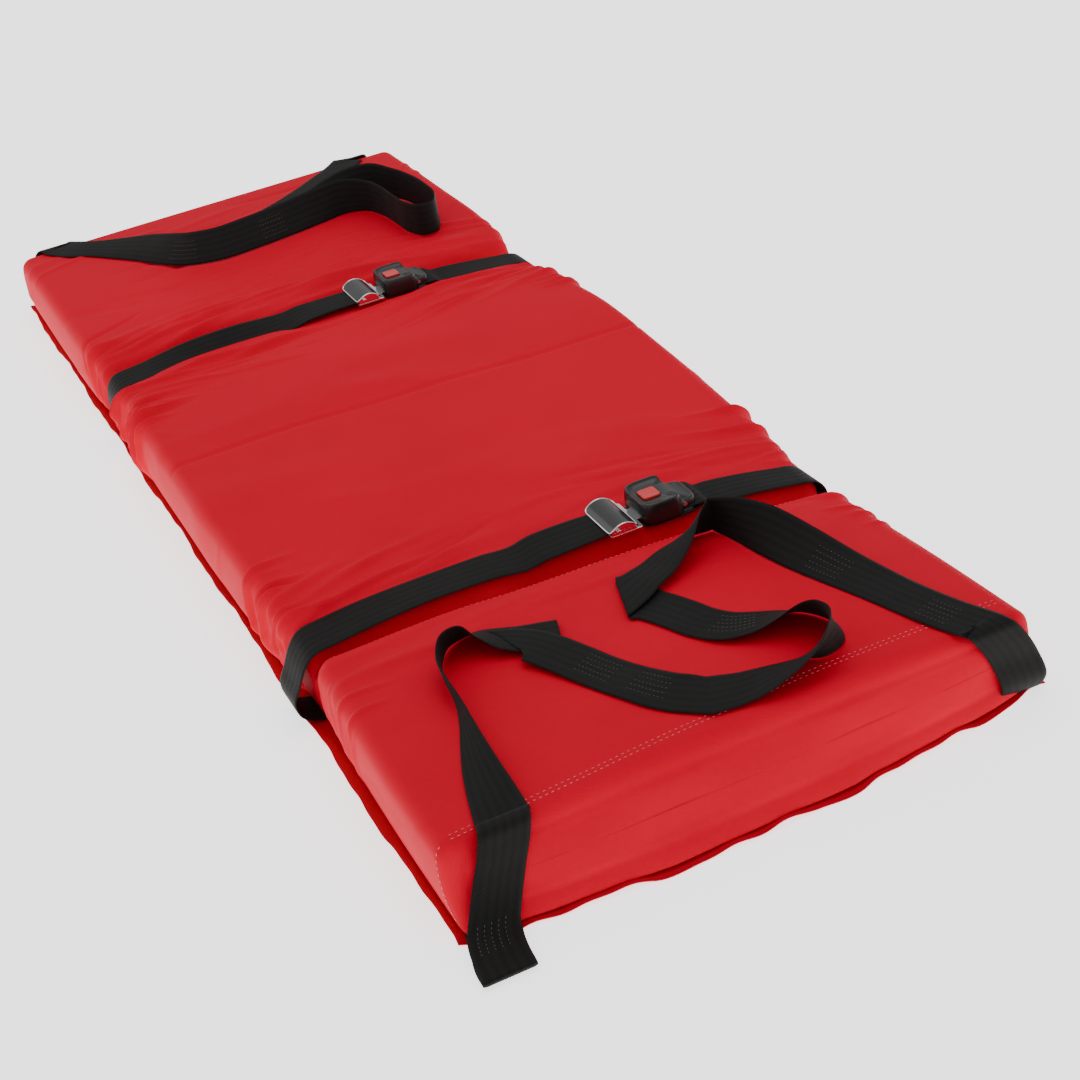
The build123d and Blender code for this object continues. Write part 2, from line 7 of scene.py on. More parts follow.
# %% Load the frame
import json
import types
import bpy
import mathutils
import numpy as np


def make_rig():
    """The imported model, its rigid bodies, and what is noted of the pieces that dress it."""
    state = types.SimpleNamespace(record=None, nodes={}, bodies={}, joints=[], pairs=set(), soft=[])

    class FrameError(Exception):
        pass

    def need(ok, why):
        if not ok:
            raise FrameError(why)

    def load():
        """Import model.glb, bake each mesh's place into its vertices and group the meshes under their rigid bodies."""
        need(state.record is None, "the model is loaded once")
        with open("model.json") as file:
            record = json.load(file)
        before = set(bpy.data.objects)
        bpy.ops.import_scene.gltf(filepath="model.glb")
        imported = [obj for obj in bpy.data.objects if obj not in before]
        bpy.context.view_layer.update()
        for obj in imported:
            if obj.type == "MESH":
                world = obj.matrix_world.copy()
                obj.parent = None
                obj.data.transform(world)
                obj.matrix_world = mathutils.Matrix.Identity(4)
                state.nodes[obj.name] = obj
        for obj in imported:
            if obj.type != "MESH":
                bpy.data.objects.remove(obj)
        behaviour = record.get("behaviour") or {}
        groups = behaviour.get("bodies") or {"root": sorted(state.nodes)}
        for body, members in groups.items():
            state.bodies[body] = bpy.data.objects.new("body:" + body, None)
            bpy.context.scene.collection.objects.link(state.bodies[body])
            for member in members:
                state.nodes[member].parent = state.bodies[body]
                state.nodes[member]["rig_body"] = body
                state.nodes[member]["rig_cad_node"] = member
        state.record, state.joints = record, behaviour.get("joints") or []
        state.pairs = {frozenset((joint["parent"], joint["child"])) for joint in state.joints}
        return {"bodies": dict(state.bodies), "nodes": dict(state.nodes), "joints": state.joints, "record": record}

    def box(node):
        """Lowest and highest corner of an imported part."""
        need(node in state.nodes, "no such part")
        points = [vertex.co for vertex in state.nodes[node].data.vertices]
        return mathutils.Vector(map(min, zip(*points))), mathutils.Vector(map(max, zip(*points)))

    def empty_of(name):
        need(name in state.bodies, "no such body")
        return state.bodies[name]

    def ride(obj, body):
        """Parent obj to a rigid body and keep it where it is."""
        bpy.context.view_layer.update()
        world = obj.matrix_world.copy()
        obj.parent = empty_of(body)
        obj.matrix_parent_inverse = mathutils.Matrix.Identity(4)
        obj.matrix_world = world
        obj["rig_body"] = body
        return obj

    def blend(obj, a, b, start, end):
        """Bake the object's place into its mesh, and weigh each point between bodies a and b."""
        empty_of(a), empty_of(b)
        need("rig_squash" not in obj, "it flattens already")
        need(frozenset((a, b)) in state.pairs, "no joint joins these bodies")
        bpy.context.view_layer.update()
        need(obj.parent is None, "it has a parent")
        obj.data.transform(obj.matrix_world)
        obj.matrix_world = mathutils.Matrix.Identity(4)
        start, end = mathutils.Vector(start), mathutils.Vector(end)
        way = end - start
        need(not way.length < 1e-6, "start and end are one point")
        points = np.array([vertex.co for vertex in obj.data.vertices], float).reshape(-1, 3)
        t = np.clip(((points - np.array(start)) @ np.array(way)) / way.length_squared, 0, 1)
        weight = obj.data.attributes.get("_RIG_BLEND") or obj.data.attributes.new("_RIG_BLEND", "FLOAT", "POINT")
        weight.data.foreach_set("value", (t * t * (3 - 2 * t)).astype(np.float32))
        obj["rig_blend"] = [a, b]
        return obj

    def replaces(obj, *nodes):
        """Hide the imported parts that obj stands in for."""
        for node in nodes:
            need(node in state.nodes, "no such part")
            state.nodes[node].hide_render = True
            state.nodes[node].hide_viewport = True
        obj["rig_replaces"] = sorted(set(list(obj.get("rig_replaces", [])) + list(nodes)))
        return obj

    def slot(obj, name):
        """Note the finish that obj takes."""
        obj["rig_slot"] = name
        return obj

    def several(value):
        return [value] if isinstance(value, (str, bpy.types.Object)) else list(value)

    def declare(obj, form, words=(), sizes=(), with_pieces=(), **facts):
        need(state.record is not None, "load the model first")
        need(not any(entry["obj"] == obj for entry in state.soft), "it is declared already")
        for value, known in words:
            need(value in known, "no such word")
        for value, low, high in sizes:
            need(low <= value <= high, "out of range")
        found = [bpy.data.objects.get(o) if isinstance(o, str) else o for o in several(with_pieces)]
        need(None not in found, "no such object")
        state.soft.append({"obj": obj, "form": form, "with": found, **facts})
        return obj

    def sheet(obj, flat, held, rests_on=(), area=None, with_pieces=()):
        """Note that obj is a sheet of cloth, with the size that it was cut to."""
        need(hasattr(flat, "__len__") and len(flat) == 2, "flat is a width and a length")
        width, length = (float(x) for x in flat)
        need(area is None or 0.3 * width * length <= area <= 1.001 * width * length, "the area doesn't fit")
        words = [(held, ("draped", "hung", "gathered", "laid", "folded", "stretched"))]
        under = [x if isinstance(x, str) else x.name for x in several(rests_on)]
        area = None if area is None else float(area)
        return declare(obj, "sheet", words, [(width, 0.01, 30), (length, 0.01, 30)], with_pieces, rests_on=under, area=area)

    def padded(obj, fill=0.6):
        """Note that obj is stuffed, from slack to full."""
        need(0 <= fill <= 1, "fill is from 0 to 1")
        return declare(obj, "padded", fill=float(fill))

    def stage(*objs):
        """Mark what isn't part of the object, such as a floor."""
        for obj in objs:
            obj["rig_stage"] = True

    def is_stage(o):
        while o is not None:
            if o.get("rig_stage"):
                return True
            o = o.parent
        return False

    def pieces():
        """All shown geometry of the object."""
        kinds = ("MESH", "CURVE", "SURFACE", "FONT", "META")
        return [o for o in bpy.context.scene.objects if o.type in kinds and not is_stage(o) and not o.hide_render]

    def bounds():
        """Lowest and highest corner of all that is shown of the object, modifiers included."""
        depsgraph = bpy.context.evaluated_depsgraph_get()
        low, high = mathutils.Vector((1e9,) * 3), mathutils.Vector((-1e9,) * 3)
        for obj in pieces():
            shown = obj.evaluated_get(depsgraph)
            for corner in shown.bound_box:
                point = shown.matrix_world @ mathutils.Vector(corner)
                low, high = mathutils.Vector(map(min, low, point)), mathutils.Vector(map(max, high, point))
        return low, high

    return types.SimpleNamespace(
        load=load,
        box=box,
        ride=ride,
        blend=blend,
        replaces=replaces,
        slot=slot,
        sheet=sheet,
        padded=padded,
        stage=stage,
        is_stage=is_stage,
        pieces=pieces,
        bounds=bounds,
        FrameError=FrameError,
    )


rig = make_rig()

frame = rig.load()

import json
import math
import bpy
import numpy as np
from mathutils import Matrix

CAD_BOX = [[float(v) for v in corner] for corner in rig.bounds()]
print("packed model's box", CAD_BOX)

# %% [markdown]
# ## Camera
# A long lens from the foot end's left side, a good way up, and rolled a little. The view is given
# as an azimuth, a height above the floor, a roll and a distance from a point on the mat.

# %% Camera
VIEW_AZIMUTH, VIEW_HEIGHT, VIEW_ROLL = (math.radians(degrees) for degrees in (-19.66, 30.25, -10.06))
VIEW_DISTANCE = 2.332
VIEW_TARGET = np.array([0.0343, -0.2935, 0.0])
LENS_MM, SENSOR_MM = 68.47, 36


def unit(vector):
    """Vectors along the last axis, each divided by its own length."""
    vector = np.asarray(vector, float)
    return vector / np.maximum(np.linalg.norm(vector, axis=-1, keepdims=True), 1e-12)


def placing(right, up, back, place):
    """The matrix of something at place, with its own x, y and z along right, up and back."""
    grid = np.eye(4)
    grid[:3] = np.column_stack([right, up, back, place])
    return Matrix(grid.tolist())


back = np.array([
    math.sin(VIEW_AZIMUTH) * math.cos(VIEW_HEIGHT),
    -math.cos(VIEW_AZIMUTH) * math.cos(VIEW_HEIGHT),
    math.sin(VIEW_HEIGHT),
])
level_right = unit(np.cross(-back, [0, 0, 1]))
level_up = np.cross(level_right, -back)
right = level_right * math.cos(VIEW_ROLL) + level_up * math.sin(VIEW_ROLL)
up = level_up * math.cos(VIEW_ROLL) - level_right * math.sin(VIEW_ROLL)
camera = bpy.data.objects.new("camera", bpy.data.cameras.new("camera"))
bpy.context.collection.objects.link(camera)
camera_place = VIEW_TARGET + back * VIEW_DISTANCE
camera.matrix_world = placing(right, up, back, camera_place)
camera.data.lens = LENS_MM
camera.data.sensor_width = SENSOR_MM
bpy.context.scene.camera = camera
print("camera stands at", np.round(camera_place, 3))

# %% [markdown]
# ## Places taken from the frame
# The fold lines lie where neighbouring panels meet, and each belt runs over the middle of its own
# tongue plate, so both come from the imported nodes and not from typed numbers.

# %% Places
FOLDS = {
    "head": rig.box("head_base_sheet")[0][1],
    "mid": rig.box("torso_base_sheet")[0][1],
    "foot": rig.box("leg_base_sheet")[0][1],
}
HEAD_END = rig.box("head_cover")[1][1]
FOOT_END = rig.box("foot_cover")[0][1]
HALF_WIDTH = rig.box("head_cover")[1][0]
MAT_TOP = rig.box("head_cover")[1][2]
BELT_Y = {name: sum(c[1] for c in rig.box(f"{name}_tongue_plate")) / 2 for name in ("chest", "leg")}
TORSO_MIDDLE = (FOLDS["head"] + FOLDS["mid"]) / 2
LEG_MIDDLE = (FOLDS["mid"] + FOLDS["foot"]) / 2
print("folds", FOLDS, "belts", BELT_Y)

# %% [markdown]
# ## Meshes from arrays
# Every shape here is a grid of points worked out as whole arrays. A grid becomes quads by joining
# each point to its neighbours; a closed direction joins its last column to its first.


# %% Grid to mesh
def grid_quads(rows, columns, wrap):
    """Corner numbers of the quads of a rows by columns grid; wrap joins the last column to the first."""
    r = np.arange(rows - 1)[:, None]
    c = np.arange(columns if wrap else columns - 1)[None, :]
    n = (c + 1) % columns
    here, ahead = r * columns, (r + 1) * columns
    return np.stack([here + c, here + n, ahead + n, ahead + c], axis=-1).reshape(-1, 4)


def make_object(name, points, faces, uv=None, smooth=True):
    """An object at the origin from an array of points and a list of faces; uv is one pair per point."""
    mesh = bpy.data.meshes.new(name)
    mesh.from_pydata(np.asarray(points, float).tolist(), [], [list(map(int, f)) for f in faces])
    if uv is not None:
        corners = np.zeros(len(mesh.loops), np.int32)
        mesh.loops.foreach_get("vertex_index", corners)
        layer = mesh.uv_layers.new(name="surface")
        layer.data.foreach_set("uv", np.asarray(uv, np.float32)[corners].ravel())
    mesh.polygons.foreach_set("use_smooth", [smooth] * len(mesh.polygons))
    mesh.update()
    obj = bpy.data.objects.new(name, mesh)
    bpy.context.collection.objects.link(obj)
    return obj


def smooth_step(value, low, high):
    """0 below low, 1 above high, and the curve 3t^2 - 2t^3 between."""
    t = np.clip((np.asarray(value, float) - low) / (high - low), 0, 1)
    return t * t * (3 - 2 * t)


def through(knots, at):
    """A smooth curve through knots (place, value...), read at the places in at: cubic pieces whose
    slope at each knot is that of the line between its two neighbours."""
    knots = np.asarray(knots, float)
    place, value = knots[:, 0], knots[:, 1:]
    slope = np.gradient(value, place, axis=0)
    i = np.clip(np.searchsorted(place, at) - 1, 0, len(place) - 2)
    gap = (place[i + 1] - place[i])[:, None]
    t = np.clip((np.asarray(at)[:, None] - place[i][:, None]) / gap, 0, 1)
    a, b = value[i], value[i + 1]
    return (
        a * (1 + 2 * t) * (1 - t) ** 2 + b * t * t * (3 - 2 * t)
        + gap * t * (1 - t) * ((1 - t) * slope[i] - t * slope[i + 1])
    )


# %% [markdown]
# ## The skin's section
# Cut across, the mat is a rectangle with rounded edges. The skin is treated as a flat cloth
# with two coordinates: `u`, the distance round the section from the middle of the top, and `y`, the
# place along the mat. A section point is found from u, then raised, narrowed and pushed out along
# its normal by amounts that change with u and y.

# %% Section
SKIN_FLOOR = 0.0035
TOP_EDGE_RADIUS = 0.015
LOW_EDGE_RADIUS = 0.008
TOP_STEPS, EDGE_STEPS, UNDER_STEPS = 40, 13, 20
SKIN_HEIGHT = MAT_TOP - SKIN_FLOOR


def half_section():
    """Points and outward normals from the middle of the top, over the edge, down and under to the
    middle. An edge is a quarter circle: with s, c the sine and cosine of the turn, x = w - r(1 - s) and
    z = top - r(1 - c) above, and the same with s and c swapped below."""
    turn = np.linspace(0, np.pi / 2, EDGE_STEPS)
    s, c = np.sin(turn), np.cos(turn)
    top = [[x, MAT_TOP, 0, 1] for x in np.linspace(0, HALF_WIDTH - TOP_EDGE_RADIUS, TOP_STEPS)[:-1]]
    under = [[x, SKIN_FLOOR, 0, -1] for x in np.linspace(HALF_WIDTH - LOW_EDGE_RADIUS, 0, UNDER_STEPS)[1:]]
    edge = np.stack([
        HALF_WIDTH - TOP_EDGE_RADIUS * (1 - s), MAT_TOP - TOP_EDGE_RADIUS * (1 - c), s, c,
    ], axis=1)
    low = np.stack([
        HALF_WIDTH - LOW_EDGE_RADIUS * (1 - c), SKIN_FLOOR + LOW_EDGE_RADIUS * (1 - s), c, -s,
    ], axis=1)
    line = np.concatenate([top, edge, low, under])
    step = np.linalg.norm(np.diff(line[:, :2], axis=0), axis=1)
    return np.concatenate([[0], np.cumsum(step)]), line


SECTION_U, SECTION_LINE = half_section()
HALF_GIRTH = float(SECTION_U[-1])
SIDE_FOOT_U = float(SECTION_U[-UNDER_STEPS])
TOP_EDGE_U = HALF_WIDTH - TOP_EDGE_RADIUS
print("girth %.3f m, top edge at u %.3f, side ends at u %.3f" % (2 * HALF_GIRTH, TOP_EDGE_U, SIDE_FOOT_U))


def section(u):
    """x, z and normal (nx, nz) of the plain section at the signed cloth distance u."""
    values = [np.interp(np.abs(u), SECTION_U, SECTION_LINE[:, k]) for k in range(4)]
    side = np.where(u < 0, -1.0, 1.0)
    return values[0] * side, values[1], values[2] * side, values[3]


# %% [markdown]
# ## How the mat sags, crowns and is pinched
# The two middle panels arch up between the outer folds. The top dips into a crease at the head and
# foot folds, where there is no foam, and the belts draw the edges in and down. These are slow
# changes, so each is a curve through a few heights along the mat.

# %% Heights along the mat
MM = 0.001
CENTRE_HEIGHT = [
    (-850, 85), (-780, 87), (-640, 88), (-530, 88), (-488, 86), (-455, 86), (-400, 90), (-240, 95), (-40, 96),
    (120, 96), (220, 92), (280, 86.5), (306, 86), (350, 86), (400, 90), (520, 91), (700, 90), (850, 86),
]
RIGHT_EDGE_HEIGHT = [
    (-850, 84), (-720, 77), (-560, 67), (-488, 62), (-455, 60), (-400, 66), (-310, 74), (-220, 83),
    (-100, 92), (50, 99), (140, 92), (220, 85), (270, 76), (306, 70), (340, 70), (370, 80), (430, 88),
    (640, 90), (850, 86),
]
LEFT_EDGE_HEIGHT = [
    (-850, 84), (-720, 86), (-560, 86), (-488, 80), (-455, 78), (-400, 85), (-240, 91), (-40, 92), (140, 92),
    (230, 88), (280, 80), (306, 77), (350, 78), (400, 86), (560, 88), (850, 85),
]
SIDE_PINCH = [
    (-850, 3), (-700, 4), (-560, 8), (-488, 12), (-455, 12), (-390, 7), (-200, 1), (0, 0), (180, 2), (260, 7),
    (306, 9), (350, 9), (410, 3), (600, 0), (850, 1),
]
FOLD_DEPTH = {"head": 20 * MM, "mid": 2.2 * MM, "foot": 24 * MM}
FOLD_SPREAD = {"head": 11 * MM, "mid": 5 * MM, "foot": 12 * MM}
FOLD_SKEW = {"head": 0.0, "mid": -0.06, "foot": -0.035}
FOOT_SPILL, FOOT_SETBACK = 36 * MM, 12 * MM
SLUMP_MIDDLE_X, SLUMP_HALF_WIDTH, SLUMP_REACH = -0.05, 0.34, 0.10
SLUMP_FULL = 0.005
HEM_FLARE, HEM_WAVE = 19 * MM, 2.0 * MM
FLARE_REACH, FLARE_FALL = 0.06, 7


def along(knots, y):
    """One of the curves above, in metres, at places y in metres."""
    return through(np.asarray(knots, float) * MM, np.ravel(y))[:, 0].reshape(np.shape(y))


def fold_line(name, x):
    """A fold's y across the mat: a slight skew and a slow wander."""
    return FOLDS[name] + FOLD_SKEW[name] * x + 3 * MM * np.sin(9 * x + len(name)) + 1.2 * MM * np.sin(31 * x)


def hem_wave(x):
    """The in and out of a sewn hem at the mat's ends, about -1.9 to 1.9."""
    return np.sin(37 * x + 2) + 0.6 * np.sin(71 * x) + 0.35 * np.sin(127 * x + 1)


def foot_slump(x, y, z):
    """How far the foot end moves along y: its foot spills outward and its rim draws back, most in the
    middle of the width, fading over the last tenth of a metre."""
    share = np.clip(1 - (np.abs(x - SLUMP_MIDDLE_X) / SLUMP_HALF_WIDTH) ** 2, 0, 1)
    share = share * smooth_step(-y, -FOOT_END - SLUMP_REACH, -FOOT_END - SLUMP_FULL)
    height = np.clip(z / MAT_TOP, 0, 1)
    return share * (FOOT_SETBACK * height**3 - FOOT_SPILL * (1 - height) ** 1.3)


def hem_flare(x, y, z):
    """How far the cover's lowest part flares out along y to meet the ground sheet at the foot end."""
    share = smooth_step(-y, -FOOT_END - FLARE_REACH, -FOOT_END - SLUMP_FULL)
    height = np.clip(z / MAT_TOP, 0, 1)
    return -share * (1 - height) ** FLARE_FALL * (HEM_FLARE - HEM_WAVE * hem_wave(x))


def top_height(x, y):
    """Height of the skin's top without its small wrinkles."""
    share = np.clip(np.abs(x) / HALF_WIDTH, 0, 1) ** 3.5
    edge = np.where(x > 0, along(RIGHT_EDGE_HEIGHT, y), along(LEFT_EDGE_HEIGHT, y))
    height = along(CENTRE_HEIGHT, y) * (1 - share) + edge * share
    for name, depth in FOLD_DEPTH.items():
        away = np.abs(y - fold_line(name, x))
        height = height - depth * np.exp(-((away / FOLD_SPREAD[name]) ** 1.8))
    return height


# %% [markdown]
# ## Wrinkles
# Cloth that is gathered by a belt or a fold line throws ridges that start at the pinch and fade as
# they run out. Each wrinkle is a ridge or furrow along a short line in the flat cloth: tall at its
# middle, fading to nothing at its ends. Groups of them are drawn at random, from a fixed seed, over
# the places where the cloth is pinched.

# %% Wrinkle groups
WRINKLES = []
RIDGE_SHARE, FURROW_DEPTH, MOST_BEND = 0.62, -0.8, 0.9
NARROW = (0.0028, 0.0055)
STRONG, LIGHT = (0.0025, 0.0058), (0.002, 0.0045)
chance = np.random.default_rng(20)


def wrinkle_group(count, u_range, y_range, turn, length, width, height, pull_y=None, fan=0.0):
    """Draws count wrinkles in a patch of cloth. turn is the spread of their direction in radians from
    straight across the mat, and fan tilts them more the further they lie from pull_y."""
    for _ in range(count):
        u, y = chance.uniform(*u_range), chance.uniform(*y_range)
        angle = chance.uniform(*turn)
        if pull_y is not None:
            angle += fan * (y - pull_y) * (1 if u < 0 else -1)
        rise = chance.uniform(*height) * (1 if chance.random() < RIDGE_SHARE else FURROW_DEPTH)
        bend = chance.uniform(-MOST_BEND, MOST_BEND)
        WRINKLES.append((u, y, angle, chance.uniform(*length), chance.uniform(*width), rise, bend))


def scaled(pair, factor):
    """Both ends of a range times a factor."""
    return tuple(value * factor for value in pair)


chest, leg = BELT_Y["chest"], BELT_Y["leg"]
head_fold, foot_fold = FOLDS["head"], FOLDS["foot"]
for side in (-1, 1):
    reach = sorted((side * 0.39, side * 0.30))
    inner = sorted((side * 0.30, side * 0.12))
    gather = 1.30 if side < 0 else 0.75
    gathers = [
        (26, reach, (chest - 0.17, chest - 0.02), (-0.25, 0.25), (0.03, 0.07), NARROW,
         scaled(STRONG, gather)),
        (12, reach, (chest + 0.03, chest + 0.12), (-0.25, 0.25), (0.03, 0.06), NARROW, LIGHT),
        (20, reach, (leg + 0.02, leg + 0.16), (-0.25, 0.25), (0.03, 0.07), NARROW, scaled(STRONG, gather)),
        (12, reach, (leg - 0.16, leg - 0.03), (-0.3, 0.3), (0.03, 0.05), (0.003, 0.007), (0.001, 0.003)),
        (22, inner, (chest - 0.12, chest - 0.03), (-0.1, 0.12), (0.05, 0.12), (0.0035, 0.007),
         (0.0015, 0.0042), chest, 2.4),
        (16, inner, (chest + 0.06, chest + 0.15), (-0.1, 0.12), (0.05, 0.12), (0.0035, 0.008),
         scaled((0.0012, 0.0036), gather), chest, 2.0),
        (10, inner, (leg + 0.03, leg + 0.12), (-0.1, 0.12), (0.05, 0.11), (0.004, 0.009),
         scaled((0.0012, 0.0032), gather), leg, 2.0),
    ]
    for group in gathers:
        wrinkle_group(*group)
over_the_top = [
    (16, (-0.30, 0.10), (chest - 0.07, chest - 0.03), (-0.08, 0.08), (0.07, 0.16), (0.0035, 0.007),
     (0.0014, 0.0034)),
    (22, (-0.30, 0.30), (head_fold + 0.015, head_fold + 0.07), (-0.10, 0.10), (0.07, 0.17), (0.004, 0.009),
     (0.0014, 0.0036)),
    (20, (-0.29, 0.12), (0.45, 0.80), (-0.35, 0.25), (0.05, 0.13), (0.006, 0.013), (0.0012, 0.0030)),
    (14, (-0.28, 0.28), (foot_fold - 0.07, foot_fold - 0.015), (-0.08, 0.08), (0.08, 0.18), (0.006, 0.012),
     (0.0006, 0.0018)),
    (14, (-0.28, 0.28), (leg + 0.03, leg + 0.10), (-0.08, 0.08), (0.08, 0.18), (0.006, 0.012),
     (0.0006, 0.0018)),
    (18, (-0.28, 0.28), (-0.36, 0.18), (-0.6, 0.6), (0.06, 0.16), (0.015, 0.040), (0.0008, 0.0026)),
    (16, (-0.38, -0.31), (-0.80, 0.80), (-1.5, -0.6), (0.03, 0.07), (0.005, 0.010), (0.0008, 0.0020)),
    (10, (0.31, 0.38), (-0.80, 0.80), (0.6, 1.5), (0.03, 0.07), (0.005, 0.010), (0.0008, 0.0020)),
    (12, (-0.28, 0.28), (-0.82, -0.56), (-0.5, 0.5), (0.05, 0.12), (0.012, 0.030), (0.0004, 0.0012)),
]
for group in over_the_top:
    wrinkle_group(*group)
print(len(WRINKLES), "wrinkles drawn")


def wrinkled(u, y):
    """How far the wrinkles push the cloth out at (u, y): the sum over all of them of
    rise * exp(-(across / width)^2) * exp(-(along / length)^4)."""
    total = np.zeros(np.broadcast(u, y).shape)
    for at_u, at_y, angle, length, width, rise, bend in WRINKLES:
        du, dy = u - at_u, y - at_y
        near = (np.abs(du) < 2 * length + 3 * width) & (np.abs(dy) < 2 * length + 3 * width)
        if not near.any():
            continue
        run = du[near] * math.cos(angle) + dy[near] * math.sin(angle)
        across = dy[near] * math.cos(angle) - du[near] * math.sin(angle) - bend * run * run
        total[near] += rise * np.exp(-((across / width) ** 2)) * np.exp(-((run / length) ** 4))
    return total


PRESS_FULL, PRESS_GONE = 0.024, 0.040
EDGE_BLEND = 0.03
TUCK_DEPTH, TUCK_SPREAD = 9 * MM, 12 * MM
BELLY = 4 * MM
LEFT_UNDER_BELT = 0.25


def belt_press(u, y):
    """0 under a belt, where the cloth is held flat, and 1 away from the belts."""
    free = np.ones(np.broadcast(u, y).shape)
    for belt_y in BELT_Y.values():
        free = free * smooth_step(np.abs(y - belt_y), PRESS_FULL, PRESS_GONE)
    return free


def skin(u, y):
    """Points of the skin at cloth places (u, y), as an array of x, y, z: the section's point, raised by
    (top height - floor) / section height, tucked in beside a fold, and pushed out along its normal by
    the wrinkles and the belly."""
    u, y = np.broadcast_arrays(np.asarray(u, float), np.asarray(y, float))
    x, z, nx, nz = section(u)
    on_side = smooth_step(np.abs(u), TOP_EDGE_U - EDGE_BLEND, TOP_EDGE_U + EDGE_BLEND)
    under = smooth_step(np.abs(u), SIDE_FOOT_U - EDGE_BLEND, SIDE_FOOT_U)
    x = x * (1 - along(SIDE_PINCH, y) / HALF_WIDTH)
    raised = (top_height(x, y) - SKIN_FLOOR) / SKIN_HEIGHT
    z = SKIN_FLOOR + (z - SKIN_FLOOR) * raised
    for name in ("head", "foot"):
        away = np.abs(y - FOLDS[name])
        x = x - np.sign(x) * on_side * (1 - under) * TUCK_DEPTH * np.exp(-((away / TUCK_SPREAD) ** 1.3))
    belly = BELLY * on_side * (1 - under) * np.sin(np.pi * np.clip((z - SKIN_FLOOR) / SKIN_HEIGHT, 0, 1))
    kept = LEFT_UNDER_BELT + (1 - LEFT_UNDER_BELT) * belt_press(u, y)
    push = wrinkled(u, y) * (1 - under) * kept + belly
    moved = foot_slump(x, y, z) + hem_flare(x, y, z)
    return np.stack([x + nx * push, y + moved, z + nz * push], axis=-1)


# %% [markdown]
# ## Three lengths of skin
# On the real mat the skin is one piece that bends at every fold. A length that bends can follow
# only two panels, so the skin is made in three lengths that meet at the middle of the torso and leg
# panels. There both lengths ride the same foam, so the join never opens.

# %% Skin lengths
END_ROUND = 0.013
ACROSS_STEP = 0.0030
ALONG_STEP = 0.0026
UNDER_COLUMNS = 26
ROUND_RINGS, FACE_RINGS = 8, 24
FACE_INSET, FACE_CLOSED = 0.012, 0.004
FACE_RIPPLE, FACE_CROWN = 1.6 * MM, 3.5 * MM
END_UV_STEP = 0.003


def cloth_columns():
    """The u of each column of the skin's grid: fine over the top and sides, coarse underneath."""
    fine = np.arange(-SIDE_FOOT_U, SIDE_FOOT_U, ACROSS_STEP)
    far = np.linspace(SIDE_FOOT_U, 2 * HALF_GIRTH - SIDE_FOOT_U, UNDER_COLUMNS)[:-1]
    u = np.concatenate([fine, far])
    return np.where(u > HALF_GIRTH, u - 2 * HALF_GIRTH, u)


def end_rings(ring, end, inset_y):
    """Rings that round the skin over onto an end face and close in on its middle line. Each ring is the
    last section drawn in towards that line while it moves out by a quarter circle."""
    reach = SKIN_HEIGHT / 2
    ring = ring.copy()
    ring[:, 1] = inset_y
    middle = ring.copy()
    half_line = HALF_WIDTH - reach - FACE_INSET
    middle[:, 0] = np.clip(ring[:, 0], -half_line, half_line)
    middle[:, 2] = SKIN_FLOOR + reach
    face_y = FOOT_END if end < 0 else HEAD_END
    rings = []

    def slumped(step):
        return foot_slump(step[:, 0], face_y, step[:, 2]) + hem_flare(step[:, 0], face_y, step[:, 2])

    for angle in np.linspace(0, np.pi / 2, ROUND_RINGS)[1:]:
        keep = 1 - END_ROUND * (1 - math.cos(angle)) / reach
        step = middle + (ring - middle) * keep
        step[:, 1] = inset_y + end * END_ROUND * math.sin(angle) + slumped(step)
        rings.append(step)
    flat_keep = 1 - END_ROUND / reach
    for keep in np.linspace(flat_keep, FACE_CLOSED, FACE_RINGS)[1:]:
        step = middle + (ring - middle) * keep
        inward = 1 - keep / flat_keep
        ripple = FACE_RIPPLE * np.sin(34 * step[:, 0] + 1.3) * np.sin(60 * step[:, 2])
        ripple = ripple * smooth_step(inward, 0, 0.45)
        wave = ripple + FACE_CROWN * (1 - (1 - inward) ** 2) * smooth_step(inward, 0, 0.3)
        step[:, 1] = inset_y + end * (END_ROUND + wave) + slumped(step)
        rings.append(step)
    return rings


def make_skin(name, y_low, y_high):
    """One closed length of skin from y_low to y_high, rounded over where that is an end of the mat."""
    low_is_end, high_is_end = y_low <= FOOT_END + 1e-6, y_high >= HEAD_END - 1e-6
    start = y_low + END_ROUND if low_is_end else y_low
    stop = y_high - END_ROUND if high_is_end else y_high
    y = np.linspace(start, stop, int((stop - start) / ALONG_STEP) + 2)
    u = cloth_columns()
    body = skin(u[None, :], y[:, None])
    rings = [body[k] for k in range(len(y))]
    along_uv = list(y)
    if low_is_end:
        extra = end_rings(rings[0], -1, start)
        rings = extra[::-1] + rings
        along_uv = [start - END_UV_STEP * (k + 1) for k in range(len(extra))][::-1] + along_uv
    if high_is_end:
        extra = end_rings(body[-1], 1, stop)
        rings = rings + extra
        along_uv = along_uv + [stop + END_UV_STEP * (k + 1) for k in range(len(extra))]
    points = np.concatenate(rings)
    columns = len(u)
    quads = grid_quads(len(rings), columns, True)
    first, last = list(range(columns))[::-1], list(range((len(rings) - 1) * columns, len(rings) * columns))
    uv = np.stack([np.tile(u, len(rings)), np.repeat(along_uv, columns)], axis=1)
    faces = [q[::-1] for q in quads.tolist()] + [first[::-1], last[::-1]]
    obj = make_object(name, points, faces, uv)
    edges = obj.data.edges
    ends = np.zeros(len(edges) * 2, np.int32)
    edges.foreach_get("vertices", ends)
    ends = ends.reshape(-1, 2)
    sharp = np.zeros(len(edges), bool)
    if not low_is_end:
        sharp |= (ends < columns).all(axis=1)
    if not high_is_end:
        sharp |= (ends >= (len(rings) - 1) * columns).all(axis=1)
    obj.data.attributes.new("sharp_edge", "BOOLEAN", "EDGE").data.foreach_set("value", sharp)
    print(name, "faces", len(obj.data.polygons), "length %.3f m" % (y_high - y_low))
    return obj


